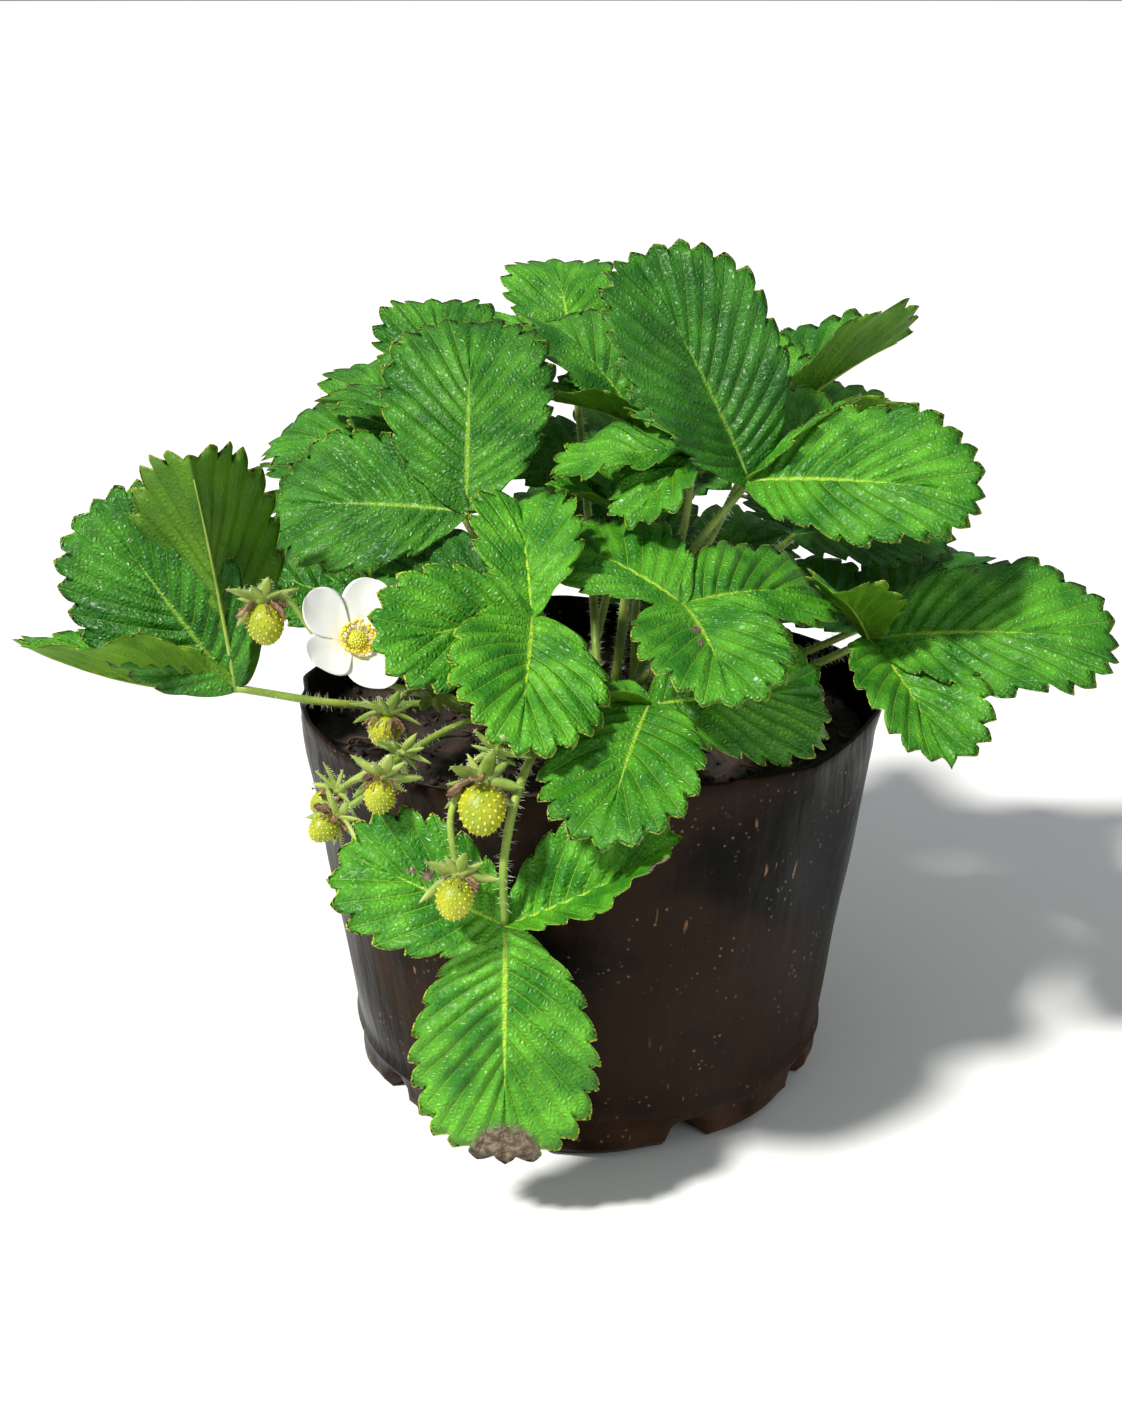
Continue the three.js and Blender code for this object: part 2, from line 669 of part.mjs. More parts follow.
// ---- the whole plant ----
const plant = new THREE.Group();
const holes = [{ place: [0, 0], radius: CROWN_RADIUS + HOLE_PLAY, depth: FOOT_DEPTH + CLEAR }];
for (const { slot } of Object.values(LEAVES)) {
  holes.push({ place: slotPlace(slot), radius: PETIOLE_RADIUS + HOLE_PLAY, depth: FOOT_DEPTH });
}
for (const { slot } of Object.values(TRUSSES)) {
  holes.push({ place: slotPlace(slot), radius: STALK_RADIUS + HOLE_PLAY, depth: FOOT_DEPTH });
}
plant.add(makePot(), makeSoil(holes), makeCrown());
for (const [name, leaf] of Object.entries(LEAVES)) plant.add(makeLeaf(name, leaf));
for (const [name, truss] of Object.entries(TRUSSES)) plant.add(makeTruss(name, truss));
for (const [name, berry] of Object.entries(BERRIES)) plant.add(makeBerry(name, berry));
plant.add(makePetals(), makeFlowerMiddle());

export default plant;
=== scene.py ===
"""A strawberry plant in a soft dark nursery pot. Lengths are in millimetres until a piece is finished."""
import functools
import math
import random

import bmesh
import bpy
from mathutils import Matrix, Vector, noise


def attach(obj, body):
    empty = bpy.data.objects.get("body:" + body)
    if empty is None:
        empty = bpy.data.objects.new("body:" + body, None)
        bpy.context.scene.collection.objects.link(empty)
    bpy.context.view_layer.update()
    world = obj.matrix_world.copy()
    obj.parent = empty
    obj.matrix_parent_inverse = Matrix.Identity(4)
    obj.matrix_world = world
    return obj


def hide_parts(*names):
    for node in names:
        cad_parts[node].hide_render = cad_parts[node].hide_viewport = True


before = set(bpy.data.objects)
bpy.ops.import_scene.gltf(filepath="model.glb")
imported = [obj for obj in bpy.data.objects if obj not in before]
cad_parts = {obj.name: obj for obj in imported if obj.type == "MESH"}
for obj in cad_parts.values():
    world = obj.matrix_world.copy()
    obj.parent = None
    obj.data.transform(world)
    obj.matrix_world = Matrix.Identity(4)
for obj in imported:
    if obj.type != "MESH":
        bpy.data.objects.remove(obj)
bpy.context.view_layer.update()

MM = 0.001
SEED = random.Random(7)

# ---- sizes that the solids share ----
POT_HEIGHT = 110
RIM_RADIUS = 80
BASE_RADIUS = 65
POT_WALL = 1.4
RIDGE_HEIGHT = 12
RIM_WAVE = 2.2
RIM_DIP = 1.6
DRAIN_COUNT = 9
DRAIN_HEIGHT = 7
SOIL_LEVEL = 99
SOIL_LUMP = 1.5
FOOT_DEPTH = 5
FOOT_SLOTS = 28
CROWN_RADIUS = 6.5
CROWN_HEIGHT = 16
BLADE_WIDE = 0.35  # half the width of a leaflet over its length
HUB_LAP = 0.8
PETIOLE_RADIUS = 1.25
STALK_RADIUS = 0.85
SEPAL_LENGTH = 9
PETAL_LENGTH = 16
PETAL_TURN = -28
BERRY_RADIUS = 5.4
BERRY_LONG = 1.12
CLEAR = 0.35
FLESH_THICK = 0.65

# ---- finer sizes ----
BLADE_THICK = 0.42
TOOTH_SPACING = 6.8
TOOTH_DEPTH = 2.8
TEETH_FROM = 0.2
ROWS_A_TOOTH = 8
BLADE_COLUMNS = 20
PUFF = 1.25  # how far a blade bulges between its side veins
HAIR_LENGTH = 1.9
HAIR_RADIUS = 0.06
TIP_SHARE = 0.625  # where along a tooth its point is
POT_SKIN = 1.0
SEPAL_THICK = 0.35
PETAL_THICK = 0.3
HEART_RADIUS = 2.6
HEART_SQUASH = 0.75
ANTHER = (0.42, 0.62, 0.72)
GOLDEN_TURN = math.pi * (3 - math.sqrt(5))

# ---- how many ----
PETIOLE_HAIRS = 480
CROWN_SCALES = 16
CRUMBS = 420
BARK_CHIPS = 90
BERRY_SEEDS = 110
WITHERED_STAMENS = 14
PISTILS = 80
ANTHERS = 28


def along(heading, rise):
    """The unit vector at a heading (0 is +X, 90 is +Y) and a rise above the horizon, in degrees."""
    heading, rise = math.radians(heading), math.radians(rise)
    return Vector((math.cos(rise) * math.cos(heading), math.cos(rise) * math.sin(heading), math.sin(rise)))


def polar(radius, turn):
    return radius * math.cos(turn), radius * math.sin(turn)


def turned(x, y, z, turn):
    """A point turned about the upright axis."""
    return Vector((x * math.cos(turn) - y * math.sin(turn), x * math.sin(turn) + y * math.cos(turn), z))


def golden_point(i, height):
    """The i-th point of a golden spiral round the unit ball, at a height."""
    return (*polar(math.sqrt(1 - height * height), GOLDEN_TURN * i), height)


def any_turn():
    return SEED.uniform(0, 2 * math.pi)


def lerp(a, b, share):
    return a + (b - a) * share


def smoothstep(value, low, high):
    share = min(max((value - low) / (high - low), 0), 1)
    return share * share * (3 - 2 * share)


# ---- materials ----
class Finish:
    """A material under construction: its nodes are added and joined by short calls."""

    def __init__(self, name):
        self.material = bpy.data.materials.new(name)
        self.material.use_nodes = True
        self.tree = self.material.node_tree
        self.shader = self.tree.nodes["Principled BSDF"]
        self.output = self.tree.nodes["Material Output"]

    def node(self, kind, **values):
        """A node of a kind, with its settings, and with its inputs where a value's name is one of theirs."""
        made = self.tree.nodes.new(kind)
        for name, value in values.items():
            if hasattr(made, name):
                setattr(made, name, value)
                continue
            self.feed(made.inputs[name.replace("_", " ")], value)
        return made

    def feed(self, socket, value):
        """Join a socket to the one that feeds it, or set it. A colour's three parts are made opaque."""
        if isinstance(value, bpy.types.NodeSocket):
            self.tree.links.new(value, socket)
        else:
            socket.default_value = (*value, 1) if socket.type == "RGBA" else value

    def set(self, **values):
        for name, value in values.items():
            self.feed(self.shader.inputs[name.replace("_", " ")], value)

    def math(self, operation, *values):
        made = self.node("ShaderNodeMath", operation=operation)
        for socket, value in zip(made.inputs, values):
            self.feed(socket, value)
        return made.outputs[0]

    def times(self, a, b):
        return self.math("MULTIPLY", a, b)

    def spread(self, value, low, high, to_low=0.0, to_high=1.0):
        """A value between low and high, spread smoothly to a new range."""
        return self.node("ShaderNodeMapRange", interpolation_type="SMOOTHSTEP", Value=value, From_Min=low,
                         From_Max=high, To_Min=to_low, To_Max=to_high).outputs["Result"]

    def mix(self, share, a, b, blend="MIX"):
        made = self.node("ShaderNodeMix", data_type="RGBA", blend_type=blend)
        for socket, value in ((made.inputs[0], share), (made.inputs[6], a), (made.inputs[7], b)):
            self.feed(socket, value)
        return made.outputs[2]

    def noise(self, vector, scale, detail=3.0, roughness=0.55):
        return self.node("ShaderNodeTexNoise", Vector=vector, Scale=scale, Detail=detail,
                         Roughness=roughness).outputs["Fac"]

    def cells(self, vector, scale, feature="DISTANCE_TO_EDGE"):
        return self.node("ShaderNodeTexVoronoi", feature=feature, Vector=vector, Scale=scale).outputs["Distance"]

    def bump(self, height, distance):
        made = self.node("ShaderNodeBump", Height=height, Distance=distance, Strength=1.0)
        self.set(Normal=made.outputs["Normal"])

    def glow_through(self, colour, share):
        """Light that passes through a thin blade or petal."""
        thin = self.node("ShaderNodeBsdfTranslucent", Color=colour)
        both = self.node("ShaderNodeMixShader")
        for socket, value in zip(both.inputs, (share, self.shader.outputs[0], thin.outputs[0])):
            self.feed(socket, value)
        self.feed(self.output.inputs["Surface"], both.outputs[0])

    def object_coordinates(self):
        return self.node("ShaderNodeTexCoord").outputs["Object"]

    def uv(self, name):
        return self.node("ShaderNodeUVMap", uv_map=name).outputs["UV"]

    def attribute(self, name):
        return self.node("ShaderNodeAttribute", attribute_name=name).outputs["Fac"]


def blade_finish(name, deep, fresh, vein, edge, roughness, through, share, relief):
    """A leaf blade: side veins and a midrib from its vein map, a net of small veins, brown where dead, with painted
    shade in its grooves and painted sunlight and shade over each leaflet.
    """
    finish = Finish(name)
    flat = finish.uv("flat")
    split = finish.node("ShaderNodeSeparateXYZ", Vector=finish.uv("veins"))
    out, phase = split.outputs["X"], split.outputs["Y"]
    tone = finish.attribute("tone")
    dead = finish.spread(finish.attribute("dead"), 0.35, 0.55)

    broad = finish.noise(flat, 0.07, 3.0)
    colour = finish.mix(finish.spread(broad, 0.3, 0.7), deep, fresh)
    to_vein = finish.math("PINGPONG", phase, 0.5)
    # painted shade: the grooves beside each side vein are darkened towards the deep green, while the puffed middle of
    # each band keeps the lighter green
    colour = finish.mix(finish.spread(to_vein, 0.0, 0.4, 0.35, 0.0), colour, deep)
    net = finish.cells(flat, 0.8)
    # painted shade: the grooves of the net of small veins are darkened towards the deep green
    net_groove_shade = finish.spread(net, 0.0, 0.14, 1.0, 0.0)
    colour = finish.mix(finish.times(net_groove_shade, 0.4), colour, deep)
    side_vein = finish.spread(to_vein, 0.01, 0.05, 1.0, 0.0)
    fading = finish.spread(out, 0.1, 0.95, 0.6, 0.2)
    colour = finish.mix(finish.times(side_vein, fading), colour, vein)
    colour = finish.mix(finish.spread(out, 0.01, 0.045, 0.95, 0.0), colour, vein)
    colour = finish.mix(finish.spread(out, 0.975, 0.999, 0.0, 0.75), colour, edge)
    # painted sunlight and shade: each leaflet's green is multiplied darker and bluer where it stands in shade, lighter
    # and yellower where it is sunlit
    shade = finish.mix(tone, (0.25, 0.45, 0.4), (2.0, 1.55, 0.8))
    colour = finish.mix(1.0, colour, shade, "MULTIPLY")
    rust = finish.mix(finish.spread(finish.noise(flat, 0.5), 0.35, 0.65), (0.09, 0.055, 0.032), (0.28, 0.21, 0.15))
    colour = finish.mix(dead, colour, rust)
    rough = finish.spread(finish.noise(flat, 0.3), 0.3, 0.7, roughness - 0.06, roughness + 0.1)
    finish.set(Base_Color=colour, Roughness=rough, Specular_IOR_Level=0.4)
    height = finish.math("ADD", finish.spread(net, 0.0, 0.45), finish.times(finish.noise(flat, 1.1), 0.2))
    height = finish.math("SUBTRACT", height, finish.times(side_vein, 0.7))
    finish.bump(height, relief)
    finish.glow_through(finish.mix(0.5, colour, through), share)
    return finish.material


def plain_finish(name, low, high, scale, roughness, bump=0.0002, detail=5.0, through=None, share=0.0):
    """A finish that wanders between two colours, with a fine uneven surface."""
    finish = Finish(name)
    place = finish.object_coordinates()
    wander = finish.noise(place, scale, detail)
    colour = finish.mix(finish.spread(wander, 0.3, 0.7), low, high)
    rough = finish.spread(finish.noise(place, scale * 1.7), 0.3, 0.7, roughness - 0.08, roughness + 0.08)
    finish.set(Base_Color=colour, Roughness=rough)
    if bump:
        finish.bump(finish.noise(place, scale * 4, 4.0), bump)
    if share:
        finish.glow_through(through, share)
    return finish.material


def pot_finish():
    """Thin dark plastic: brownish patches, dust, scratches and dried splashes of soil."""
    finish = Finish("thin_dark_plastic")
    place = finish.object_coordinates()
    patch = finish.noise(place, 18.0, 5.0)
    colour = finish.mix(finish.spread(patch, 0.42, 0.6), (0.001, 0.0008, 0.0007), (0.02, 0.0105, 0.0052))
    upright = finish.node("ShaderNodeMapping", Vector=place, Scale=(70, 70, 12)).outputs[0]
    streak = finish.noise(upright, 3.0, 4.0)
    colour = finish.mix(finish.spread(streak, 0.55, 0.75, 0.0, 0.4), colour, (0.026, 0.0145, 0.0085))
    dust = finish.cells(place, 420.0, "F1")
    sparse = finish.spread(finish.noise(place, 60.0), 0.48, 0.62)
    speck = finish.times(finish.spread(dust, 0.1, 0.22, 1.0, 0.0), sparse)
    colour = finish.mix(finish.times(speck, 0.6), colour, (0.24, 0.17, 0.12))
    low = finish.node("ShaderNodeSeparateXYZ", Vector=place).outputs["Z"]
    foot = finish.times(finish.spread(low, 0.0, 0.016, 1.0, 0.0), finish.spread(patch, 0.35, 0.6))
    colour = finish.mix(finish.times(foot, 0.5), colour, (0.13, 0.06, 0.03))
    short = finish.node("ShaderNodeMapping", Vector=place, Rotation=(0.3, 0.5, 0.2),
                        Scale=(420, 420, 70)).outputs[0]
    scratch = finish.spread(finish.noise(short, 1.0, 2.0), 0.7, 0.74)
    scratch = finish.times(scratch, finish.spread(finish.noise(place, 30.0), 0.5, 0.62))
    colour = finish.mix(finish.times(scratch, 0.75), colour, (0.3, 0.15, 0.07))
    finish.set(Base_Color=colour, Roughness=finish.spread(patch, 0.3, 0.7, 0.28, 0.5), Specular_IOR_Level=0.06)
    wrinkle = finish.math("ADD", finish.noise(upright, 1.2, 3.0), finish.times(finish.noise(place, 260.0), 0.12))
    finish.bump(wrinkle, 0.0012)
    return finish.material


def berry_finish():
    finish = Finish("young_berry_flesh")
    place = finish.object_coordinates()
    ripe = finish.noise(place, 160.0, 2.0)
    colour = finish.mix(finish.spread(ripe, 0.3, 0.7), (0.24, 0.33, 0.012), (0.42, 0.46, 0.016))
    finish.set(Base_Color=colour, Roughness=0.42, Subsurface_Weight=0.15, Subsurface_Scale=0.5,
               Subsurface_Radius=(0.002, 0.002, 0.0005))
    finish.bump(finish.noise(place, 900.0), 0.0002)
    return finish.material


def petal_finish():
    finish = Finish("white_petal")
    flat = finish.uv("flat")
    split = finish.node("ShaderNodeSeparateXYZ", Vector=flat)
    fan = finish.math("PINGPONG", finish.times(split.outputs["X"], 9.0), 0.5)
    line = finish.spread(fan, 0.0, 0.12, 1.0, 0.0)
    base = finish.spread(split.outputs["Y"], 0.0, 0.35, 0.35, 0.0)
    colour = finish.mix(finish.times(line, 0.06), (0.98, 0.985, 0.965), (0.8, 0.83, 0.74))
    colour = finish.mix(base, colour, (0.85, 0.85, 0.45))
    finish.set(Base_Color=colour, Roughness=0.5)
    finish.glow_through((0.97, 0.975, 0.93), 0.18)
    return finish.material


UPPER = blade_finish("leaf_upper", (0.013, 0.13, 0.01), (0.095, 0.4, 0.04), (0.25, 0.52, 0.07),
                     (0.5, 0.66, 0.14), 0.36, (0.25, 0.6, 0.01), 0.22, 0.0003)
UNDER = blade_finish("leaf_underside", (0.06, 0.2, 0.016), (0.13, 0.34, 0.02), (0.28, 0.46, 0.07),
                     (0.5, 0.66, 0.16), 0.5, (0.45, 0.75, 0.005), 0.4, 0.00022)
STEM = plain_finish("hairy_green_stem", (0.16, 0.28, 0.03), (0.36, 0.47, 0.075), 90.0, 0.48, 0.0003)
HAIR = plain_finish("pale_hairs", (0.62, 0.68, 0.45), (0.82, 0.84, 0.7), 200.0, 0.5, 0.0)
SEPAL = plain_finish("sepal", (0.2, 0.34, 0.04), (0.52, 0.62, 0.15), 120.0, 0.55, 0.0003,
                     through=(0.5, 0.6, 0.1), share=0.2)
WITHERED = plain_finish("withered_brown", (0.1, 0.045, 0.02), (0.42, 0.27, 0.15), 260.0, 0.85, 0.0006)
BERRY = berry_finish()
BERRY_SEED = plain_finish("berry_seed", (0.55, 0.42, 0.01), (0.86, 0.72, 0.04), 300.0, 0.4, 0.0)
PETAL = petal_finish()
POLLEN = plain_finish("yellow_pollen", (0.75, 0.5, 0.01), (0.95, 0.78, 0.05), 400.0, 0.6, 0.0003)
PISTIL = plain_finish("flower_heart", (0.6, 0.62, 0.05), (0.85, 0.78, 0.1), 500.0, 0.5, 0.0003)
POT = pot_finish()
SOIL = plain_finish("potting_soil", (0.006, 0.004, 0.003), (0.045, 0.026, 0.016), 140.0, 0.95, 0.0012, 8.0)
BARK = plain_finish("bark_and_roots", (0.03, 0.016, 0.009), (0.2, 0.12, 0.065), 120.0, 0.85, 0.0008)
CROWN = plain_finish("scaly_crown", (0.035, 0.022, 0.012), (0.2, 0.14, 0.06), 150.0, 0.85, 0.0012)


# ---- mesh helpers ----
def sheet(bm, columns, rows, place, maps=(), material=0):
    """A grid bent into shape: place(a, b) is the point at a across and b along, both from 0 to 1.

    maps pairs a UV layer with the function of a and b that fills it."""
    verts = bmesh.ops.create_grid(bm, x_segments=columns, y_segments=rows, size=0.5)["verts"]
    shares = {vert: (vert.co.x + 0.5, vert.co.y + 0.5) for vert in verts}
    faces = {face for vert in verts for face in vert.link_faces}
    for face in faces:
        face.material_index = material
        face.smooth = True
        for layer, spot in maps:
            for loop in face.loops:
                loop[layer].uv = spot(*shares[loop.vert])
    for vert, (a, b) in shares.items():
        vert.co = place(a, b)
    return verts


def paint(verts, material, smooth=False):
    """Give the faces round some vertices a material."""
    for face in {face for vert in verts for face in vert.link_faces}:
        face.material_index = material
        face.smooth = smooth


def weld(bm, verts, distance=0.004):
    bmesh.ops.remove_doubles(bm, verts=verts, dist=distance)


def close_shell(bm, verts):
    """Close two welded skins into one shell that faces out.

    Where the skins lie face to face at a corner they leave doubled faces and flaps, which are taken off."""
    faces = list({face for vert in verts if vert.is_valid for face in vert.link_faces})
    faces = bmesh.ops.triangulate(bm, faces=faces)["faces"]
    while True:
        faces = [face for face in faces if face.is_valid]
        alike = {}
        for face in faces:
            alike.setdefault(frozenset(face.verts), []).append(face)
        flaps = {face for same in alike.values() if len(same) > 1 for face in same}
        for face in faces:
            shared = [len(edge.link_faces) for edge in face.edges]
            if min(shared) == 1 and max(shared) > 2:
                flaps.add(face)
        if not flaps:
            break
        bmesh.ops.delete(bm, geom=list(flaps), context="FACES")
    rim = list({edge for face in faces for edge in face.edges if len(edge.link_faces) == 1})
    if rim:
        faces += bmesh.ops.holes_fill(bm, edges=rim, sides=6)["faces"]
    bmesh.ops.recalc_face_normals(bm, faces=faces)
    volume = 0.0
    for face in faces:
        corners = [vert.co - faces[0].verts[0].co for vert in face.verts]
        for second, third in zip(corners[1:], corners[2:]):
            volume += corners[0].dot(second.cross(third))
    if volume < 0:
        bmesh.ops.reverse_faces(bm, faces=faces)
    return faces


def two_skins(bm, columns, rows, place, thick, material=0, maps=()):
    """A thin closed piece: an upper and a lower skin that meet along the rim. place also takes a lift."""
    verts = []
    for half in (thick / 2, -thick / 2):
        def skin(a, b, half=half):
            rim = min(a, 1 - a, b, 1 - b)
            return place(a, b, half * min(rim * 6, 1) ** 0.5)

        verts += sheet(bm, columns, rows, skin, maps, material)
    weld(bm, verts)
    close_shell(bm, verts)


def add_object(name, data):
    made = bpy.data.objects.new(name, data)
    bpy.context.scene.collection.objects.link(made)
    return made


def finish_piece(bm, name, materials, nodes, tidy=True):
    """Scale a mesh to metres, make it a piece that rides on the plant, and hide the parts of model.glb that it stands
    in for.
    """
    bmesh.ops.dissolve_degenerate(bm, dist=1e-4, edges=bm.edges)
    if tidy:
        bmesh.ops.recalc_face_normals(bm, faces=bm.faces)
    bmesh.ops.scale(bm, vec=(MM, MM, MM), verts=bm.verts)
    mesh = bpy.data.meshes.new(name)
    bm.to_mesh(mesh)
    bm.free()
    for material in materials:
        mesh.materials.append(material)
    piece = add_object(name, mesh)
    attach(piece, "root")
    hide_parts(*nodes)


def smooth_path(points, count):
    """Evenly spaced points on the smooth curve through the points, which its ends pass straight out of."""
    points = [Vector(p) for p in points]
    ends = [points[0] * 2 - points[1], *points, points[-1] * 2 - points[-2]]
    fine = []
    for a, b, c, d in zip(ends, ends[1:], ends[2:], ends[3:]):
        for step in range(16):
            t = step / 16
            start, leave = (c - a) / 2, (d - b) / 2
            fine.append(b + start * t + (3 * (c - b) - 2 * start - leave) * t ** 2
                        + (2 * (b - c) + start + leave) * t ** 3)
    fine.append(points[-1])
    lengths = [0.0]
    for a, b in zip(fine, fine[1:]):
        lengths.append(lengths[-1] + (b - a).length)
    even, k = [], 0
    for i in range(count):
        want = lengths[-1] * i / (count - 1)
        while k < len(fine) - 2 and lengths[k + 1] < want:
            k += 1
        even.append(fine[k].lerp(fine[k + 1], (want - lengths[k]) / max(lengths[k + 1] - lengths[k], 1e-9)))
    return even


def frames_along(path):
    """The side and the upward direction at each point of a path, turned as little as can be."""
    ahead = [(b - a).normalized() for a, b in zip(path, path[1:])]
    ahead.append(ahead[-1])
    side = ahead[0].orthogonal().normalized()
    found = []
    for direction in ahead:
        side = (side - direction * side.dot(direction)).normalized()
        found.append((direction, side, direction.cross(side)))
    return found


def tube(bm, path, radius, sides=8, material=0):
    """A round stem along a path, closed at both ends. radius is a number or a function of the share along."""
    frames = frames_along(path)
    last = len(path) - 1
    girth = radius if callable(radius) else (lambda share: radius)

    def place(a, b):
        row = round(b * (last + 2))
        i = min(max(row - 1, 0), last)
        _, side, up = frames[i]
        r = 0 if row in (0, last + 2) else girth(i / last)
        x, y = polar(r, 2 * math.pi * a)
        return path[i] + side * x + up * y

    weld(bm, sheet(bm, sides, last + 2, place, material=material))


def hairs(bm, path, radius, count, material, length=HAIR_LENGTH):
    """Fine hairs that stand out all round a stem."""
    frames = frames_along(path)
    for _ in range(count):
        share = SEED.random() * (len(path) - 1.001)
        i = int(share)
        ahead, side, up = frames[i]
        x, y = polar(1, any_turn())
        out = side * x + up * y
        root = path[i].lerp(path[i + 1], share - i) + out * radius * 0.8
        lean = (out + ahead * SEED.uniform(-0.35, 0.45)).normalized()
        hair(bm, root, lean, length * SEED.uniform(0.6, 1.15), material)


def hair(bm, root, lean, length, material):
    matrix = Matrix.Translation(root + lean * length / 2) @ lean.to_track_quat("Z", "Y").to_matrix().to_4x4()
    made = bmesh.ops.create_cone(bm, cap_ends=True, segments=3, radius1=HAIR_RADIUS, radius2=0.0, depth=length,
                                 matrix=matrix)["verts"]
    paint(made, material)


# ---- leaflet ----
def margin_place(u):
    """The plain margin of a leaflet, as shares of its length: u is 0 at its base and 1 at its tip."""
    return BLADE_WIDE * math.sin(math.pi * u ** 1.06), math.sin(math.pi / 2 * u) ** 1.75


def blade_surface(hub, heading, rise, length, roll, fold, arch=25, curl=10, open=0, wave=0.015, **_):
    """The bent surface of a leaflet, as a function of side, x, y and lift, as in the plant's solids."""
    ahead = along(heading, rise)
    flat = along(heading, rise + 90)
    across = ahead.cross(flat)
    roll = math.radians(roll)
    up = flat * math.cos(roll) + across * math.sin(roll)
    right = ahead.cross(up)
    half = math.radians(arch) / 2
    bow = length * 0.5 / math.sin(half)
    base = Vector(hub) - ahead * HUB_LAP

    def surface(side, x, y, lift):
        turn = half * (2 * y - 1)
        place = base + ahead * (bow * (math.sin(turn) + math.sin(half))) + up * (
            bow * (math.cos(turn) - math.cos(half)))
        normal = up * math.cos(turn) + ahead * math.sin(turn)
        slope = math.radians(fold[1 if side > 0 else 0] - open * y)
        bend = math.radians(-curl) * (x / BLADE_WIDE) - 1e-4
        reach = length * x * (math.sin(slope + bend) - math.sin(slope)) / bend
        climb = length * x * (math.cos(slope) - math.cos(slope + bend)) / bend
        ripple = length * wave * math.sin(14 * y + heading) * (x / BLADE_WIDE)
        tilt = slope + bend if x > 1e-6 else 0
        return (place + right * (side * (reach - lift * math.sin(tilt)))
                + normal * (climb + ripple + lift * math.cos(tilt)))

    return surface


def leaflet(bm, hub, blade, layers):
    """One toothed leaflet with sunk side veins, puffed between them. The midrib beneath it is made by leaf from the
    surface that this returns.
    """
    heading, rise, length, roll, fold, *rest = blade
    rest = rest[0] if rest else {}
    surface = blade_surface(hub, heading, rise, length, roll, fold, **rest)
    teeth = round(length / TOOTH_SPACING)
    step = (1 - TEETH_FROM) / (teeth + 0.5)
    depth = TOOTH_DEPTH / length
    rows = ROWS_A_TOOTH * (2 * teeth + 5) // 2
    swirl = Vector((heading, rise, length))

    def phase_of(b):
        """How many teeth a row has passed: whole numbers are notches. The last half tooth is the tip's."""
        return lerp(-2.0, teeth + 0.5, b)

    def u_of(phase):
        if phase < 0:
            return TEETH_FROM * (1 + phase / 2) ** 1.15
        return TEETH_FROM + step * phase

    def tooth(phase):
        if phase < 0:
            return 0.0
        part = phase - math.floor(phase)
        if phase > teeth:
            return min((part / 0.5) ** 0.9, 1.0)
        if part < TIP_SHARE:
            return math.sin(part / TIP_SHARE * math.pi / 2) ** 0.6
        return 1 - ((part - TIP_SHARE) / (1 - TIP_SHARE)) ** 1.5

    @functools.lru_cache(None)
    def flat_place(a, b):
        side = 2 * a - 1
        w = abs(side)
        phase = phase_of(b)
        u = min(u_of(phase), 1)
        edge_x, edge_y = margin_place(u)
        out = depth * tooth(phase) * w ** 3
        rib = 0.8 * max(u - 0.07, 0) ** 1.35
        # side veins curve towards the tip as they near the margin
        bowed = w ** (1 + 0.2 * smoothstep(u, 0.1, 0.4))
        tip = max(0.0, (u - 0.9) / 0.1)
        x = edge_x * w + out * lerp(0.9, 0, tip)
        y = lerp(rib, edge_y, bowed) + out * lerp(0.45, 0.9, tip)
        if phase > 0:
            point = max(0, 1 - abs(phase % 1.0 - TIP_SHARE) * 4)
            y += depth * 0.3 * point * w ** 6 * (1 - tip)
        return (1 if side >= 0 else -1), w, x, y, phase

    def place(a, b, lift):
        side, w, x, y, phase = flat_place(a, b)
        # side veins run out to the teeth's points
        from_vein = abs(((phase - TIP_SHARE + 0.5) % 1.0) - 0.5) * 2
        inward = min(w / 0.1, 1) * (1 - 0.6 * w ** 4)
        puff = PUFF * (from_vein ** 0.8 - 0.45) * inward * smoothstep(y, 0.02, 0.2)
        spot = Vector((x * length * side, y * length, 0)) + swirl
        wrinkle = 0.14 * noise.noise(spot * 0.22) * inward + 1.2 * noise.noise(spot * 0.06) * w
        frill = 0.7 * w ** 4 * math.sin(phase * 2.1 + heading)
        return surface(side, x, y, lift + puff + wrinkle + frill)

    def vein_map(a, b):
        _, w, _, _, phase = flat_place(a, b)
        return w, phase - TIP_SHARE

    def flat_map(a, b):
        side, _, x, y, _ = flat_place(a, b)
        return x * length * side + 200 * (heading % 7), y * length

    veins, flat, sun_and_tone_layer, dead_layer, tone = layers
    verts = []
    for face_side, material in ((1, 0), (-1, 1)):
        half_thick = face_side * BLADE_THICK / 2

        def skin(a, b, half_thick=half_thick):
            thinning = min((1 - abs(2 * a - 1)) * 8, 1) ** 0.5 * min(b * 12, 1)
            return place(a, b, half_thick * thinning)

        verts += sheet(bm, BLADE_COLUMNS, rows, skin, ((veins, vein_map), (flat, flat_map)), material)
    weld(bm, verts, 0.02)
    verts = {vert for face in close_shell(bm, verts) for vert in face.verts}
    # each vertex carries the leaflet's painted sunlight and shade
    for vert in verts:
        vert[sun_and_tone_layer] = tone
    for spot_x, spot_y, reach in rest.get("dead", ()):
        centre = surface(1 if spot_x >= 0 else -1, abs(spot_x), spot_y, 0)
        for vert in verts:
            away = (vert.co - centre).length + 1.5 * noise.noise(vert.co * 0.35)
            vert[dead_layer] = max(vert[dead_layer], 1 - away / (2 * reach))
    return surface


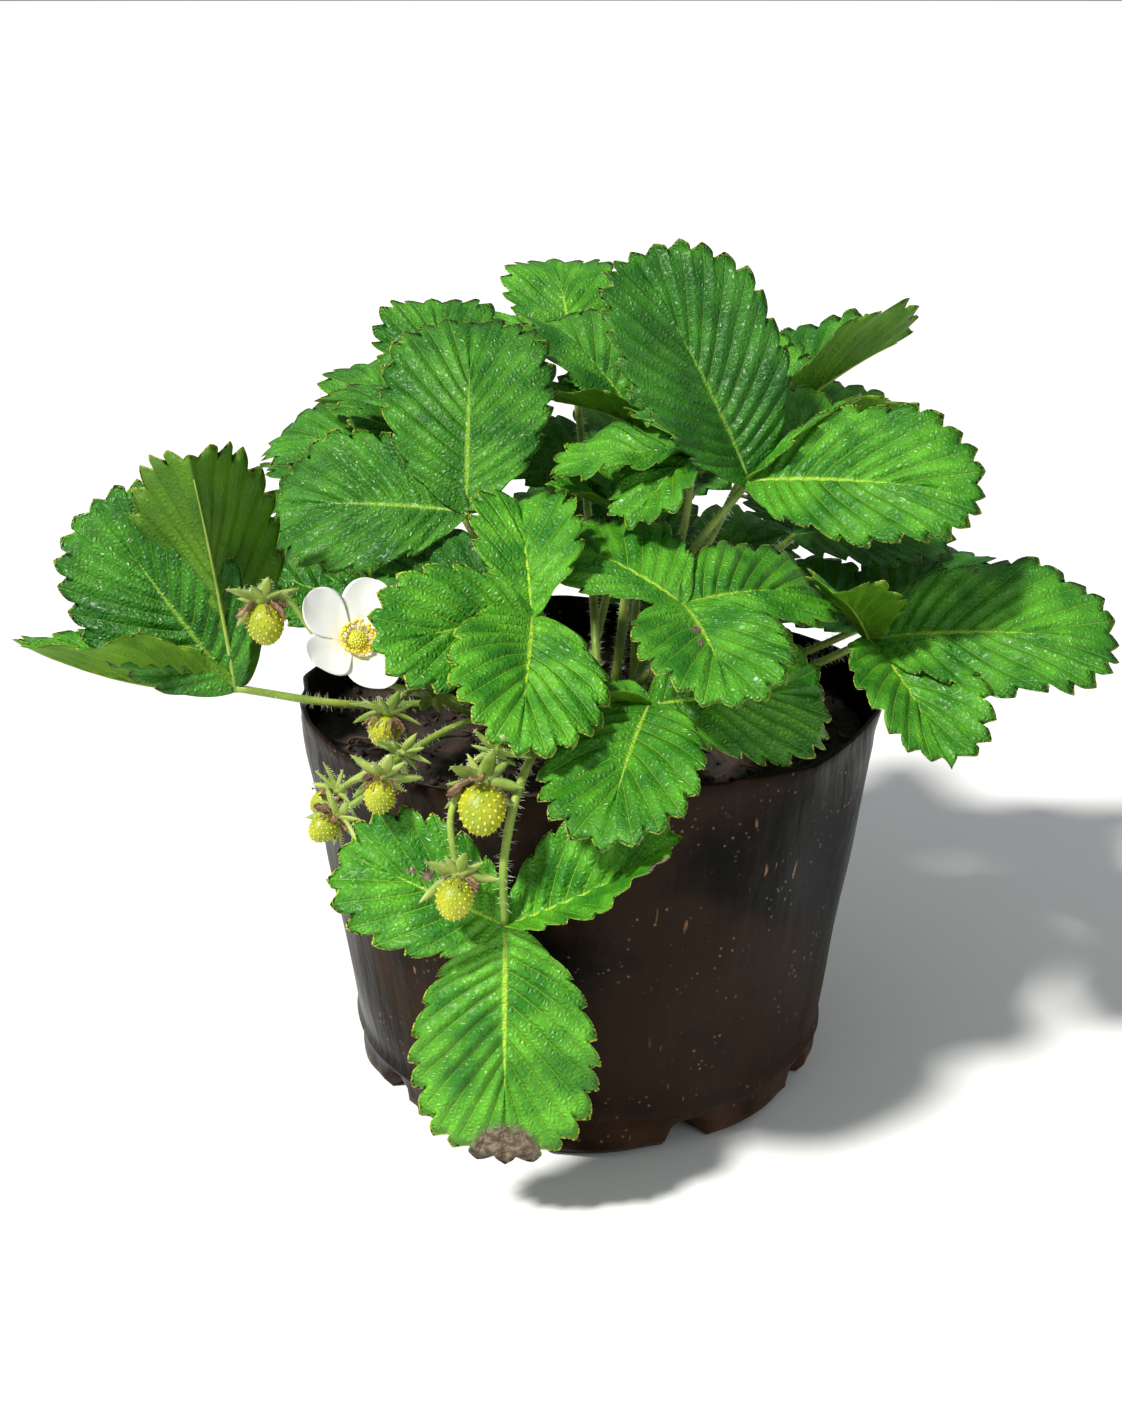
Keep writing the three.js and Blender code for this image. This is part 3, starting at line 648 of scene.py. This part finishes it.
def leaf(name, slot, route, leaflets, tone):
    """A leaf: its petiole, its leaflets and the pale hairs along the petiole."""
    bm = bmesh.new()
    veins = bm.loops.layers.uv.new("veins")
    flat = bm.loops.layers.uv.new("flat")
    sun_and_tone_layer = bm.verts.layers.float.new("tone")
    dead_layer = bm.verts.layers.float.new("dead")
    hub = route[-1]
    for index, blade in enumerate(leaflets):
        rest = blade[5] if len(blade) > 5 else {}
        # painted sunlight and shade for each leaflet, with a small spread of its own
        own = tone + 0.12 * math.sin(5.3 * index + len(name)) + rest.get("tone", 0)
        surface = leaflet(bm, hub, blade, (veins, flat, sun_and_tone_layer, dead_layer, own))
        length = blade[2]
        # the raised midrib under the blade
        rib = [surface(1, 0.0, y / 14, -0.35) for y in range(14)]
        tube(bm, rib, lambda share: lerp(0.75, 0.15, share) * min(length / 50, 1), 6, material=2)
    path = smooth_path([*standing(slot), *route], 8 * (len(route) + 2))
    tube(bm, path, lambda share: lerp(1.12, 0.82, share) * PETIOLE_RADIUS, 10, material=2)
    hairs(bm, path, PETIOLE_RADIUS, PETIOLE_HAIRS, 3)
    finish_piece(bm, f"fine_leaf_{name}", (UPPER, UNDER, STEM, HAIR), [f"leaf_{name}"], tidy=False)


def standing(slot):
    """The upright start of a petiole or stalk, at one of the slots round the crown."""
    x, y = polar(CROWN_RADIUS + (12 if slot % 2 else 6), 2 * math.pi / FOOT_SLOTS * slot)
    return [(x, y, SOIL_LEVEL - FOOT_DEPTH + CLEAR), (x, y, SOIL_LEVEL + 2), (x, y, SOIL_LEVEL + 8)]


# Each leaf has the slot round the crown that its petiole stands in, the points that the petiole passes, the
# last of which is the hub of its leaflets, and for each leaflet heading, rise, length, roll, the left and
# right fold, and the rest. Each leaf's green also carries painted sunlight and shade: a low value darkens a
# leaf that stands in shade, and a high one lightens a sunlit leaf.
LEAVES = {
    "top_right": dict(tone=0.22, slot=25, route=[(24, -12, 146), (42, -5, 169)], leaflets=[
        (154, 59, 66, -40, (25, 16)), (-15, 0, 60, 45, (12, 22), {"tone": 0.4}),
        (42, 20, 40, 0, (40, 40), {"tone": 0.5})]),
    "right_back": dict(tone=0.7, slot=2, route=[(34, 22, 145), (48, 32, 171)], leaflets=[
        (32, 25, 60, 0, (30, 60)), (85, 45, 36, 0, (20, 20)), (20, 2, 46, 0, (40, 40))]),
    "top_middle": dict(tone=0.6, slot=4, route=[(12, 22, 145), (15, 36, 174)], leaflets=[
        (128, 30, 50, 0, (20, 20)), (66, 20, 46, 0, (20, 20)), (-165, 20, 30, 0, (35, 35))]),
    "top_left": dict(tone=0.4, slot=12, route=[(-22, 2, 135), (-33, -3, 160)], leaflets=[
        (90, 41, 64, 0, (15, 15)), (161, -3, 56, -50, (12, 12)), (50, -15, 36, 0, (20, 20))]),
    "back_left": dict(tone=0.5, slot=8, route=[(-25, 20, 145), (-37, 28, 173)], leaflets=[
        (102, 38, 52, 0, (15, 15)), (168, 14, 40, 0, (15, 15)), (50, 0, 34, 0, (15, 15))]),
    "front_left": dict(tone=0.95, slot=18, route=[(-12, -32, 126), (-15, -42, 143)], leaflets=[
        (-150, -1, 43, -55, (20, 10)), (-93, -19, 52, -10, (5, 25)), (96, 29, 42, 0, (35, 35))]),
    "front_middle": dict(tone=0.8, slot=24, route=[(20, -28, 129), (23, -38, 145)], leaflets=[
        (132, 8, 50, -15, (15, 15)), (34, -6, 46, 25, (15, 15)),
        (-79, -10, 50, 0, (12, 12), {"dead": [(0.04, 0.4, 1.6), (0.05, 0.55, 1.2)]})]),
    "front_low": dict(tone=0.62, slot=23, route=[(10, -46, 114), (14, -60, 126)], leaflets=[
        (-105, -20, 50, 0, (12, 12)), (29, -7, 52, 50, (15, 15)), (165, -14, 36, 0, (40, 20))]),
    "hanging": dict(tone=1.0, slot=22,
                    route=[(-2, -34, 113), (-10, -62, 121), (-17, -84, 116), (-21, -93, 100), (-21, -92, 82)],
                    leaflets=[
                        (-93, -84, 60, 0, (8, 8), {"arch": 15, "dead": [(0, 1.02, 9)]}),
                        (-9, 31, 48, 48, (18, 58), {"arch": -40, "dead": [(0.2, 1.0, 4)]}),
                        (166, 20, 43, -60, (15, 15), {"dead": [(0.08, 0.52, 1.5), (0.06, 0.6, 1.1)]})]),
    "left": dict(tone=0.5, slot=15, route=[(-60, -22, 112), (-93, -28, 119)], leaflets=[
        (158, 50, 60, -66, (12, 12)), (-125, 80, 64, 41, (50, 42)),
        (178, 12, 58, -10, (95, 45), {"arch": -35, "open": 60, "tone": 0.6})]),
    "right": dict(tone=0.8, slot=27, route=[(50, -10, 115), (75, -12, 127)], leaflets=[
        (-8, 2, 64, 30, (12, 12)), (-70, -24, 48, 0, (25, 25)), (-119, 37, 34, 0, (30, 30))]),
    "right_shaded": dict(tone=0.25, slot=1, route=[(52, 12, 112), (77, 14, 122)], leaflets=[
        (40, 17, 48, 0, (10, 10)), (115, 15, 38, 0, (10, 10)), (168, 8, 36, -10, (12, 12))]),
    "back_top": dict(tone=0.7, slot=6, route=[(0, 40, 150), (-4, 66, 188)], leaflets=[
        (98, 30, 48, 0, (15, 15)), (155, 18, 32, 0, (15, 15)), (65, -8, 36, 0, (20, 20))]),
    "middle_shaded": dict(tone=0.2, slot=16, route=[(-12, -20, 126), (-18, -24, 142)], leaflets=[
        (157, 2, 42, -35, (12, 12)), (-172, -4, 32, -20, (12, 12))]),
    "far_left": dict(tone=0.5, slot=11, route=[(-30, 28, 140), (-46, 42, 165)], leaflets=[
        (122, 24, 48, -10, (12, 12)), (160, 0, 50, -20, (12, 12))]),
    "crinkled": dict(tone=0.7, slot=26, route=[(24, 0, 148), (28, 0, 176)], leaflets=[
        (176, -10, 38, -10, (15, 15), {"wave": 0.05}), (110, 4, 30, 0, (30, 30)),
        (-132, -32, 30, 0, (20, 20))]),
    "young": dict(tone=0.9, slot=0, route=[(13, 3, 142), (13, 9, 154)], leaflets=[
        (122, 28, 30, 0, (35, 35)), (-172, 24, 26, -10, (30, 30)), (40, 22, 30, 0, (35, 35))]),
    "behind_left": dict(tone=0.4, slot=9, route=[(-38, 44, 128), (-56, 66, 144)], leaflets=[
        (140, 5, 52, 0, (12, 12)), (70, 8, 50, 0, (12, 12)), (-165, 2, 44, 0, (12, 12))]),
    "behind_middle": dict(tone=0.45, slot=7, route=[(8, 50, 130), (12, 64, 152)], leaflets=[
        (80, 15, 56, 0, (12, 12)), (-8, 12, 46, 25, (12, 12)), (168, 12, 44, -25, (12, 12))]),
    "behind_right": dict(tone=0.35, slot=3, route=[(40, 40, 124), (62, 54, 138)], leaflets=[
        (50, 0, 56, 0, (12, 12)), (84, 5, 42, 0, (12, 12)), (-15, 3, 46, 25, (12, 12))]),
    "behind_low": dict(tone=0.3, slot=5, route=[(11, 48, 109), (14, 68, 112)], leaflets=[
        (92, 42, 58, 0, (12, 12)), (145, 34, 52, -15, (12, 12)), (22, 18, 56, 20, (12, 12))]),
    "left_low": dict(tone=0.3, slot=13, route=[(-34, 10, 113), (-62, 26, 122)], leaflets=[
        (98, 32, 40, 0, (12, 12)), (165, 15, 44, -30, (12, 12)), (25, 15, 28, 10, (20, 20))]),
}


# ---- pot, soil and crown ----
def wall_radius(z):
    return lerp(BASE_RADIUS, RIM_RADIUS, z / POT_HEIGHT)


def crumpled(place):
    """The soft rim leans in and out and dips, more and more above the soil, and the wall has shallow dents."""
    x, y, z = place
    turn = math.atan2(y, x)
    share = smoothstep(z, SOIL_LEVEL - 6, POT_HEIGHT)
    lean = RIM_WAVE * share * (0.6 * math.sin(3 * turn + 0.6) + 0.4 * math.sin(7 * turn + 2))
    around = Vector((math.cos(turn), math.sin(turn), z / 60))
    lean += 1.3 * noise.noise(around * 2.4) + 1.5 * share * noise.noise(around * 6 + Vector((0, 0, z / 12)))
    radius = max(math.hypot(x, y), 1)
    grow = 1 + lean * smoothstep(radius, 30, 60) / radius
    dip = RIM_DIP * share * math.sin(4 * turn + 1) + 0.8 * share * noise.noise(around * 6)
    return Vector((x * grow, y * grow, z + dip))


def lathe(bm, profile, segments):
    """A round shape from a profile of radius and height that starts and ends on the axis."""
    last = len(profile) - 1

    def place(a, b):
        radius, height = profile[round(b * last)]
        return Vector((*polar(radius, 2 * math.pi * a), height))

    weld(bm, sheet(bm, segments, last, place))


def stepped(profile, step):
    """A profile with points added so that none of its straight runs is longer than a step."""
    found = [profile[0]]
    for (r0, z0), (r1, z1) in zip(profile, profile[1:]):
        parts = max(1, math.ceil(math.hypot(r1 - r0, z1 - z0) / step))
        found += [(lerp(r0, r1, i / parts), lerp(z0, z1, i / parts)) for i in range(1, parts + 1)]
    return found


def make_pot():
    ridge = wall_radius(RIDGE_HEIGHT) + 0.9
    profile = stepped([
        (0, 0.2), (BASE_RADIUS - 6, 0.2), (BASE_RADIUS - 2, 0.4), (BASE_RADIUS + 0.3, 3), (BASE_RADIUS + 0.8, 7),
        (wall_radius(RIDGE_HEIGHT - 2), RIDGE_HEIGHT - 2), (ridge, RIDGE_HEIGHT - 0.3),
        (ridge, RIDGE_HEIGHT + 0.3), (wall_radius(RIDGE_HEIGHT + 2), RIDGE_HEIGHT + 2),
        (RIM_RADIUS + 0.2, POT_HEIGHT - 0.6), (RIM_RADIUS - 0.4, POT_HEIGHT), (RIM_RADIUS - POT_SKIN, POT_HEIGHT - 0.6),
        (wall_radius(10) - POT_SKIN, 10), (BASE_RADIUS - 3, 2.0), (0, 2.0)], 3.5)
    bm = bmesh.new()
    lathe(bm, profile, 180)
    for vert in bm.verts:
        x, y, z = vert.co
        turn = math.atan2(y, x)
        # the foot is drawn in and up at each drain notch, and bulges between them
        near = math.cos(DRAIN_COUNT * (turn - math.radians(0.35 * 360 / DRAIN_COUNT)))
        low = smoothstep(z, 9, 1) * smoothstep(math.hypot(x, y), BASE_RADIUS - 12, BASE_RADIUS - 3)
        notch = smoothstep(near, 0.72, 0.93) * low
        bulge = smoothstep(-near, -0.2, 1) * smoothstep(z, 11, 4) * smoothstep(z, -1, 1.5)
        radius = max(math.hypot(x, y), 1)
        grow = 1 + (bulge - 7 * notch) / radius if radius > 20 else 1
        vert.co = crumpled((x * grow, y * grow, z + DRAIN_HEIGHT * 0.9 * notch))
        vert.co.z = max(vert.co.z, 0.0)
    finish_piece(bm, "fine_pot", (POT,), ["pot"])


def soil_height(x, y):
    hollows = math.sin(x / 5 + y / 11) * math.cos(y / 6)
    crumbs = math.sin(x / 2.9 + 1) * math.sin(y / 3.3)
    fine = noise.fractal(Vector((x, y, 0)) * 0.22, 0.8, 2.1, 4)
    return SOIL_LEVEL + SOIL_LUMP * (0.4 * hollows + 0.4 * crumbs + 0.7 * fine) - 0.6


def strewn(reach):
    """Anywhere on the soil within a radius."""
    return polar(reach * math.sqrt(SEED.random()), any_turn())


def make_soil():
    bm = bmesh.new()
    edge = wall_radius(SOIL_LEVEL) - POT_WALL - 1.2
    rings = 46
    profile = [(0, 3), (BASE_RADIUS - 7, 3), (wall_radius(12) - 3, 12), (edge - 0.3, SOIL_LEVEL - 5)]
    profile += [(edge * (1 - i / rings), SOIL_LEVEL) for i in range(rings + 1)]
    lathe(bm, profile, 150)
    for vert in bm.verts:
        if vert.co.z > SOIL_LEVEL - 1:
            vert.co.z = soil_height(vert.co.x, vert.co.y)
    for _ in range(CRUMBS):
        x, y = strewn(edge - 3)
        size = SEED.uniform(0.5, 1.9)
        chunk(bm, (x, y, soil_height(x, y) + 0.25 * size), size)
    for _ in range(BARK_CHIPS):
        x, y = strewn(edge - 5)
        sliver(bm, (x, y, soil_height(x, y) + 0.5), SEED.uniform(2.5, 8))
    finish_piece(bm, "fine_soil", (SOIL, BARK), ["soil"])


def chunk(bm, place, size):
    """A crumb: a small ball knocked out of round."""
    squash = Matrix.Diagonal((size, size * SEED.uniform(0.6, 1), size * SEED.uniform(0.5, 0.9), 1))
    turn = Matrix.Rotation(SEED.uniform(0, 6.28), 4, Vector((SEED.random(), SEED.random(), 1)))
    made = bmesh.ops.create_icosphere(bm, subdivisions=1, radius=1,
                                      matrix=Matrix.Translation(place) @ turn @ squash)["verts"]
    for vert in made:
        vert.co += Vector([SEED.uniform(-0.16, 0.16) * size for _ in range(3)])


def sliver(bm, place, length):
    """A chip of bark or a bit of root that lies on the soil."""
    heading = SEED.uniform(0, 360)
    start = Vector(place) - along(heading, 0) * length / 2
    bow = along(heading + 90, 10) * SEED.uniform(-0.25, 0.25) * length
    path = smooth_path([start, Vector(place) + bow, start + along(heading, 0) * length], 5)
    thick = SEED.uniform(0.25, 0.7)
    tube(bm, path, lambda share: thick * (1 - 0.7 * abs(2 * share - 1)), 5, material=1)


def make_crown():
    """The short woody crown, wrapped in the dry sheaths of old leaves."""
    bm = bmesh.new()
    foot = SOIL_LEVEL - FOOT_DEPTH
    rings = 22
    profile = [(0, foot)]
    for i in range(rings + 1):
        up = i / rings
        profile.append((CROWN_RADIUS * 0.93 * math.cos(up * math.pi / 2.6), foot + CROWN_HEIGHT * up))
    profile.append((0, foot + CROWN_HEIGHT + 1))
    lathe(bm, profile, 28)
    for vert in bm.verts:
        if 1 < math.hypot(vert.co.x, vert.co.y):
            vert.co += Vector((vert.co.x, vert.co.y, 0)).normalized() * 0.5 * noise.noise(vert.co * 0.6)
    for i in range(CROWN_SCALES):
        heading = 137.5 * i
        height = foot + 4 + 0.7 * i
        radius = CROWN_RADIUS * math.cos((height - foot) / CROWN_HEIGHT * math.pi / 2.6) - 0.2
        out = along(heading, 0)
        side = along(heading + 90, 0)
        lean = along(heading, 68)

        def place(a, b, lift):
            width = 2.2 * (1 - b) ** 0.7
            spot = out * (radius + lift) + Vector((0, 0, height)) + lean * (5.5 * b)
            return spot + side * (width * (2 * a - 1)) - out * (0.8 * (1 - b) * (2 * a - 1) ** 2)

        two_skins(bm, 4, 6, place, 0.3)
    finish_piece(bm, "fine_crown", (CROWN,), ["crown"])


# ---- flower and berries ----
def stand_at(place, axis):
    """The turn that stands +Z along an axis, at a place."""
    turn = Vector((0, 0, 1)).rotation_difference(Vector(axis).normalized()).to_matrix().to_4x4()
    return Matrix.Translation(Vector(place)) @ turn


def along_axis(place, axis, distance):
    return Vector(place) + Vector(axis).normalized() * distance


def calyx(bm, place, axis, size, opened):
    """The ring of pointed hairy sepals that carries a berry or a flower: five long and five short."""
    matrix = stand_at(place, axis)
    for i in range(10):
        turn = math.radians(36 * i + SEED.uniform(-6, 6))
        share, wide, level = (1.0, 1.25, 0.18) if i % 2 == 0 else (0.78, 0.9, -0.18)
        length = SEPAL_LENGTH * lerp(0.75, 1.2, size) * share * SEED.uniform(0.88, 1.08)
        width = wide * (size + 0.5)
        bend = SEED.uniform(0.2, 2.0) if opened else size * SEED.choice((-4, -2, 1, 3, 5))
        twist = SEED.uniform(-0.5, 0.5)

        def place_on(a, b, lift=0):
            across = 2 * a - 1
            reach = 0.4 + (length - 0.4) * b
            half = width * math.sin(math.pi * min(b * 0.75 + 0.27, 1)) ** 0.8
            z = level * size - bend * b ** 1.6 + 0.35 * abs(across) * half + 0.3 * twist * across * b + lift
            return matrix @ turned(reach, across * half + twist * b ** 2 * size, z, turn)

        two_skins(bm, 4, 9, place_on, SEPAL_THICK, material=1)
        for _ in range(14):
            b, side = SEED.uniform(0.1, 0.95), SEED.choice((0.0, 1.0))
            root = place_on(side, b)
            out = (root - place_on(0.5, b)).normalized()
            hair(bm, root, (out + matrix.to_3x3() @ Vector((0, 0, SEED.uniform(-0.5, 0.5)))).normalized(),
                 0.9 * SEED.uniform(0.6, 1.1), 2)
    verts = bmesh.ops.create_uvsphere(bm, u_segments=12, v_segments=8, radius=1.9 * size,
                                      matrix=matrix @ Matrix.Diagonal((1, 1, 0.35, 1)))["verts"]
    paint(verts, 0, True)


def withered_bits(bm, place, axis, size):
    """Dried stamens and shrunken brown petals left round a young berry."""
    matrix = stand_at(place, axis)
    for _ in range(WITHERED_STAMENS):
        turn = any_turn()
        start = matrix @ Vector((*polar(SEED.uniform(2.2, 3.4) * size, turn), 0.3))
        out = matrix.to_3x3() @ Vector((*polar(1, turn), SEED.uniform(0.2, 1.6)))
        end = start + out.normalized() * SEED.uniform(2.2, 4.6)
        tube(bm, smooth_path([start, (start + end) / 2 + Vector((0, 0, 0.3)), end], 5), 0.13, 5, material=3)
        head = bmesh.ops.create_icosphere(bm, subdivisions=1, radius=0.36,
                                          matrix=Matrix.Translation(end))["verts"]
        paint(head, 3)
    for _ in range(5):
        turn = any_turn()
        start = matrix @ Vector((*polar(2.6 * size, turn), 0.2))
        out = matrix.to_3x3() @ Vector((*polar(1, turn), SEED.uniform(-0.3, 0.8)))
        scrap(bm, start, out.normalized() + Vector((0, 0, -0.5)), SEED.uniform(4.0, 7.5) * (0.5 + size / 2), 3)


def scrap(bm, place, lean, length, material):
    """A crumpled, curled shred."""
    matrix = stand_at(place, lean)
    own = SEED.uniform(0, 50)

    def place_on(a, b, lift):
        across = 2 * a - 1
        half = length * 0.27 * math.sin(math.pi * (0.1 + 0.8 * b)) ** 0.7
        crease = noise.noise_vector(Vector((across * 1.5 + own, b * 3, 0.5))) * 0.16 * length
        return matrix @ (Vector((across * half, 0.5 * half * across ** 2 + lift, length * b)) + crease)

    two_skins(bm, 5, 7, place_on, 0.25, material)


def make_berry(name, place, axis, size):
    """A young berry: an egg with a seed in each dimple, wound round it in spirals."""
    bm = bmesh.new()
    radius = BERRY_RADIUS * size
    matrix = stand_at(along_axis(place, axis, radius * BERRY_LONG + FLESH_THICK / 2 + CLEAR), axis)
    seeds = [Vector(golden_point(i, 1 - 2 * (i + 0.5) / BERRY_SEEDS)) for i in range(BERRY_SEEDS)]
    seeds = [seed for seed in seeds if seed.z >= -0.86]

    def egg(direction):
        """The egg's surface in a direction: it narrows towards its tip."""
        taper = 1 - 0.12 * direction.z
        return Vector((direction.x * taper, direction.y * taper, direction.z * BERRY_LONG)) * radius

    verts = bmesh.ops.create_icosphere(bm, subdivisions=4, radius=1)["verts"]
    for vert in verts:
        direction = vert.co.normalized()
        nearest = min((direction - seed).length for seed in seeds)
        vert.co = matrix @ (egg(direction) * (1 + 0.05 * smoothstep(nearest, 0.06, 0.2) - 0.03))
    for face in bm.faces:
        face.smooth = True
    for seed in seeds:
        spot = matrix @ (egg(seed) * 0.985)
        out = (matrix.to_3x3() @ seed).normalized()
        turn = out.to_track_quat("Z", "Y").to_matrix().to_4x4()
        grain = Matrix.Diagonal((0.36 * size, 0.5 * size, 0.42 * size, 1))
        made = bmesh.ops.create_icosphere(bm, subdivisions=1, radius=1,
                                          matrix=Matrix.Translation(spot) @ turn @ grain)["verts"]
        paint(made, 1, True)
        hair(bm, spot + out * 0.2 * size, (out + Vector((0, 0, -0.4))).normalized(), 0.7 * size, 2)
    finish_piece(bm, f"fine_berry_{name}", (BERRY, BERRY_SEED, HAIR), [f"berry_{name}"])


BERRIES = {
    "left": dict(place=(-82, -45, 148), axis=(0.1, -0.2, -1), size=0.85),
    "rim": dict(place=(-50, -66, 126), axis=(-0.15, 0.3, -1), size=0.75),
    "small": dict(place=(-50, -83, 116), axis=(-0.1, -0.6, -0.8), size=0.66),
    "low_left": dict(place=(-63, -68, 106), axis=(-0.8, -0.1, -0.6), size=0.55),
    "under": dict(place=(-62, -78, 104), axis=(-0.7, -0.5, -0.5), size=0.6),
    "front": dict(place=(-26, -89, 117), axis=(0, -0.75, -0.65), size=1),
    "hanging": dict(place=(-32, -95, 96), axis=(-0.1, -0.65, -0.75), size=0.8),
}
FLOWER = dict(place=(-59, -48, 138), axis=(0.3, -0.65, 0.7), size=1.1)

TRUSSES = {
    "flowering": (17, [
        ([(-28, -30, 112), (-40, -42, 122), (-52, -45, 132)], FLOWER),
        ([(-40, -42, 122), (-62, -44, 130), (-76, -45, 149)], BERRIES["left"]),
        ([(-40, -42, 122), (-45, -54, 128)], BERRIES["rim"])]),
    "left": (19, [
        ([(-18, -40, 112), (-30, -60, 122), (-46, -74, 118)], BERRIES["small"]),
        ([(-46, -74, 118), (-56, -71, 112)], BERRIES["low_left"]),
        ([(-46, -74, 118), (-54, -77, 110)], BERRIES["under"])]),
    "front": (21, [
        ([(-10, -44, 112), (-18, -72, 119), (-23, -86, 123)], BERRIES["front"]),
        ([(-23, -86, 123), (-33, -91, 112)], BERRIES["hanging"])]),
}


def make_truss(name, slot, branches):
    bm = bmesh.new()
    for i, (route, carries) in enumerate(branches):
        place, axis, size = carries["place"], carries["axis"], carries["size"]
        opened = carries is FLOWER
        points = [*(standing(slot) if i == 0 else []), *route, along_axis(place, axis, 0 if opened else -0.2)]
        path = smooth_path(points, 6 * len(points))
        tube(bm, path, STALK_RADIUS, 8)
        hairs(bm, path, STALK_RADIUS, 40 * len(points), 2, 1.3)
        # a berry's sepals spread flat behind it, towards the light
        faces = axis if opened else (Vector((0, 0.8, -0.5)) - Vector(axis)).normalized()
        calyx(bm, place, faces, size, opened)
        if not opened:
            withered_bits(bm, place, axis, size)
        if i == 1:
            # a spent bud with its bract at the fork
            calyx(bm, Vector(route[0]) + Vector((0, -STALK_RADIUS, 1)), (0.2, 0.8, 0.4), 0.45, False)
            scrap(bm, route[0], Vector((SEED.uniform(-0.5, 0.5), -0.8, SEED.uniform(-0.4, 0.6))), 7.5, 1)
    finish_piece(bm, f"fine_truss_{name}", (STEM, SEPAL, HAIR, WITHERED), [f"truss_{name}"])


def make_petals():
    bm = bmesh.new()
    flat = bm.loops.layers.uv.new("flat")
    matrix = stand_at(along_axis(FLOWER["place"], FLOWER["axis"], FLESH_THICK + CLEAR + 0.05), FLOWER["axis"])
    for i in range(5):
        turn = 2 * math.pi * i / 5 - math.radians(30 - PETAL_TURN)
        cup = SEED.uniform(0.3, 0.42)
        level = 0.12 * (i % 2)

        def place(a, b, thick):
            across = 2 * a - 1
            b = math.sin(math.pi / 2 * b)
            if b < 0.58:
                wide = lerp(0.2, 1, smoothstep(b, 0, 0.58))
            else:
                wide = math.sqrt(max(1 - ((b - 0.58) / 0.42) ** 2, 0))
            half = PETAL_LENGTH * 0.42 * wide
            lift = PETAL_LENGTH * cup * b ** 2 + 0.22 * half * across ** 2 + 0.35 * noise.noise(
                Vector((across * 1.6 + 9 * i, b * 3, 0)))
            return matrix @ turned(PETAL_LENGTH * (0.05 + 0.95 * b), across * half, lift + level + thick, turn)

        two_skins(bm, 16, 18, place, PETAL_THICK, maps=((flat, lambda a, b: (a, b)),))
    finish_piece(bm, "fine_petals", (PETAL,), ["flower_petals"])


def make_flower_middle():
    """A dome of tiny pistils, ringed by anthers on short threads."""
    bm = bmesh.new()
    base = stand_at(along_axis(FLOWER["place"], FLOWER["axis"], 1.5 * FLESH_THICK + 2 * CLEAR), FLOWER["axis"])
    bmesh.ops.create_uvsphere(bm, u_segments=20, v_segments=12, radius=HEART_RADIUS,
                              matrix=base @ Matrix.Diagonal((1, 1, HEART_SQUASH, 1)))
    for i in range(PISTILS):
        x, y, z = golden_point(i, 1 - (i + 0.5) / PISTILS)
        spot = Vector((x, y, z * HEART_SQUASH)) * HEART_RADIUS
        bmesh.ops.create_icosphere(bm, subdivisions=1, radius=0.3, matrix=base @ Matrix.Translation(spot))
    for face in bm.faces:
        face.smooth = True
    for i in range(ANTHERS):
        turn = 2 * math.pi * (i + SEED.uniform(-0.25, 0.25)) / ANTHERS
        top = Vector((*polar(SEED.uniform(3.4, 4.8), turn), SEED.uniform(1.3, 2.3)))
        foot = base @ Vector((*polar(2.4, turn), 0.1))
        head = base @ top
        tube(bm, smooth_path([foot, foot.lerp(head, 0.5) + Vector((0, 0, 0.1)), head], 4), 0.12, 5, material=1)
        matrix = base @ Matrix.Translation(top) @ Matrix.Rotation(turn, 4, "Z") @ Matrix.Diagonal((*ANTHER, 1))
        paint(bmesh.ops.create_icosphere(bm, subdivisions=2, radius=1, matrix=matrix)["verts"], 1, True)
    finish_piece(bm, "fine_flower_middle", (PISTIL, POLLEN), ["flower_middle"])


# ---- stage, light and camera ----
def make_stage():
    """A wide pale floor."""
    bm = bmesh.new()
    bmesh.ops.create_circle(bm, cap_ends=True, segments=96, radius=60)
    mesh = bpy.data.meshes.new("floor")
    bm.to_mesh(mesh)
    bm.free()
    finish = Finish("pale_floor")
    finish.set(Base_Color=(0.86, 0.86, 0.85), Roughness=0.9)
    mesh.materials.append(finish.material)
    floor = add_object("floor", mesh)


def add_light(name, kind, power, colour, facing, **settings):
    data = bpy.data.lights.new(name, kind)
    data.energy = power
    data.color = colour
    for setting, value in settings.items():
        setattr(data, setting, value)
    lamp = add_object(name, data)
    lamp.rotation_euler = Vector(facing).to_track_quat("-Z", "Y").to_euler()
    return lamp


def make_light():
    """A warm key from the upper left and front, a cool fill from the front right and a pale surround."""
    add_light("key", "SUN", 4.7, (1, 0.975, 0.93), (0.5, 0.42, -0.78), angle=math.radians(7))
    place = Vector((1.3, -1.4, 0.7))
    fill = add_light("fill", "AREA", 5, (0.93, 0.97, 1), Vector((0, 0, 0.12)) - place, shape="DISK", size=1.2)
    fill.location = place
    bpy.context.scene.view_settings.view_transform = "Standard"
    world = bpy.data.worlds.new("studio")
    world.use_nodes = True
    world.node_tree.nodes["Background"].inputs["Color"].default_value = (0.93, 0.97, 1, 1)
    world.node_tree.nodes["Background"].inputs["Strength"].default_value = 0.36
    bpy.context.scene.world = world


def make_camera():
    data = bpy.data.cameras.new("camera")
    data.lens = 50
    data.sensor_width = 36
    camera = add_object("camera", data)
    camera.location = (-0.0077, -0.509, 0.291)
    camera.rotation_euler = (math.radians(90 - 20.05), 0, 0)
    bpy.context.scene.camera = camera


make_camera()
make_light()
make_stage()
make_pot()
make_soil()
make_crown()
for leaf_name, parts in LEAVES.items():
    leaf(leaf_name, **parts)
for truss_name, (truss_slot, truss_branches) in TRUSSES.items():
    make_truss(truss_name, truss_slot, truss_branches)
for berry_name, berry in BERRIES.items():
    make_berry(berry_name, **berry)
make_petals()
make_flower_middle()

bpy.context.view_layer.update()
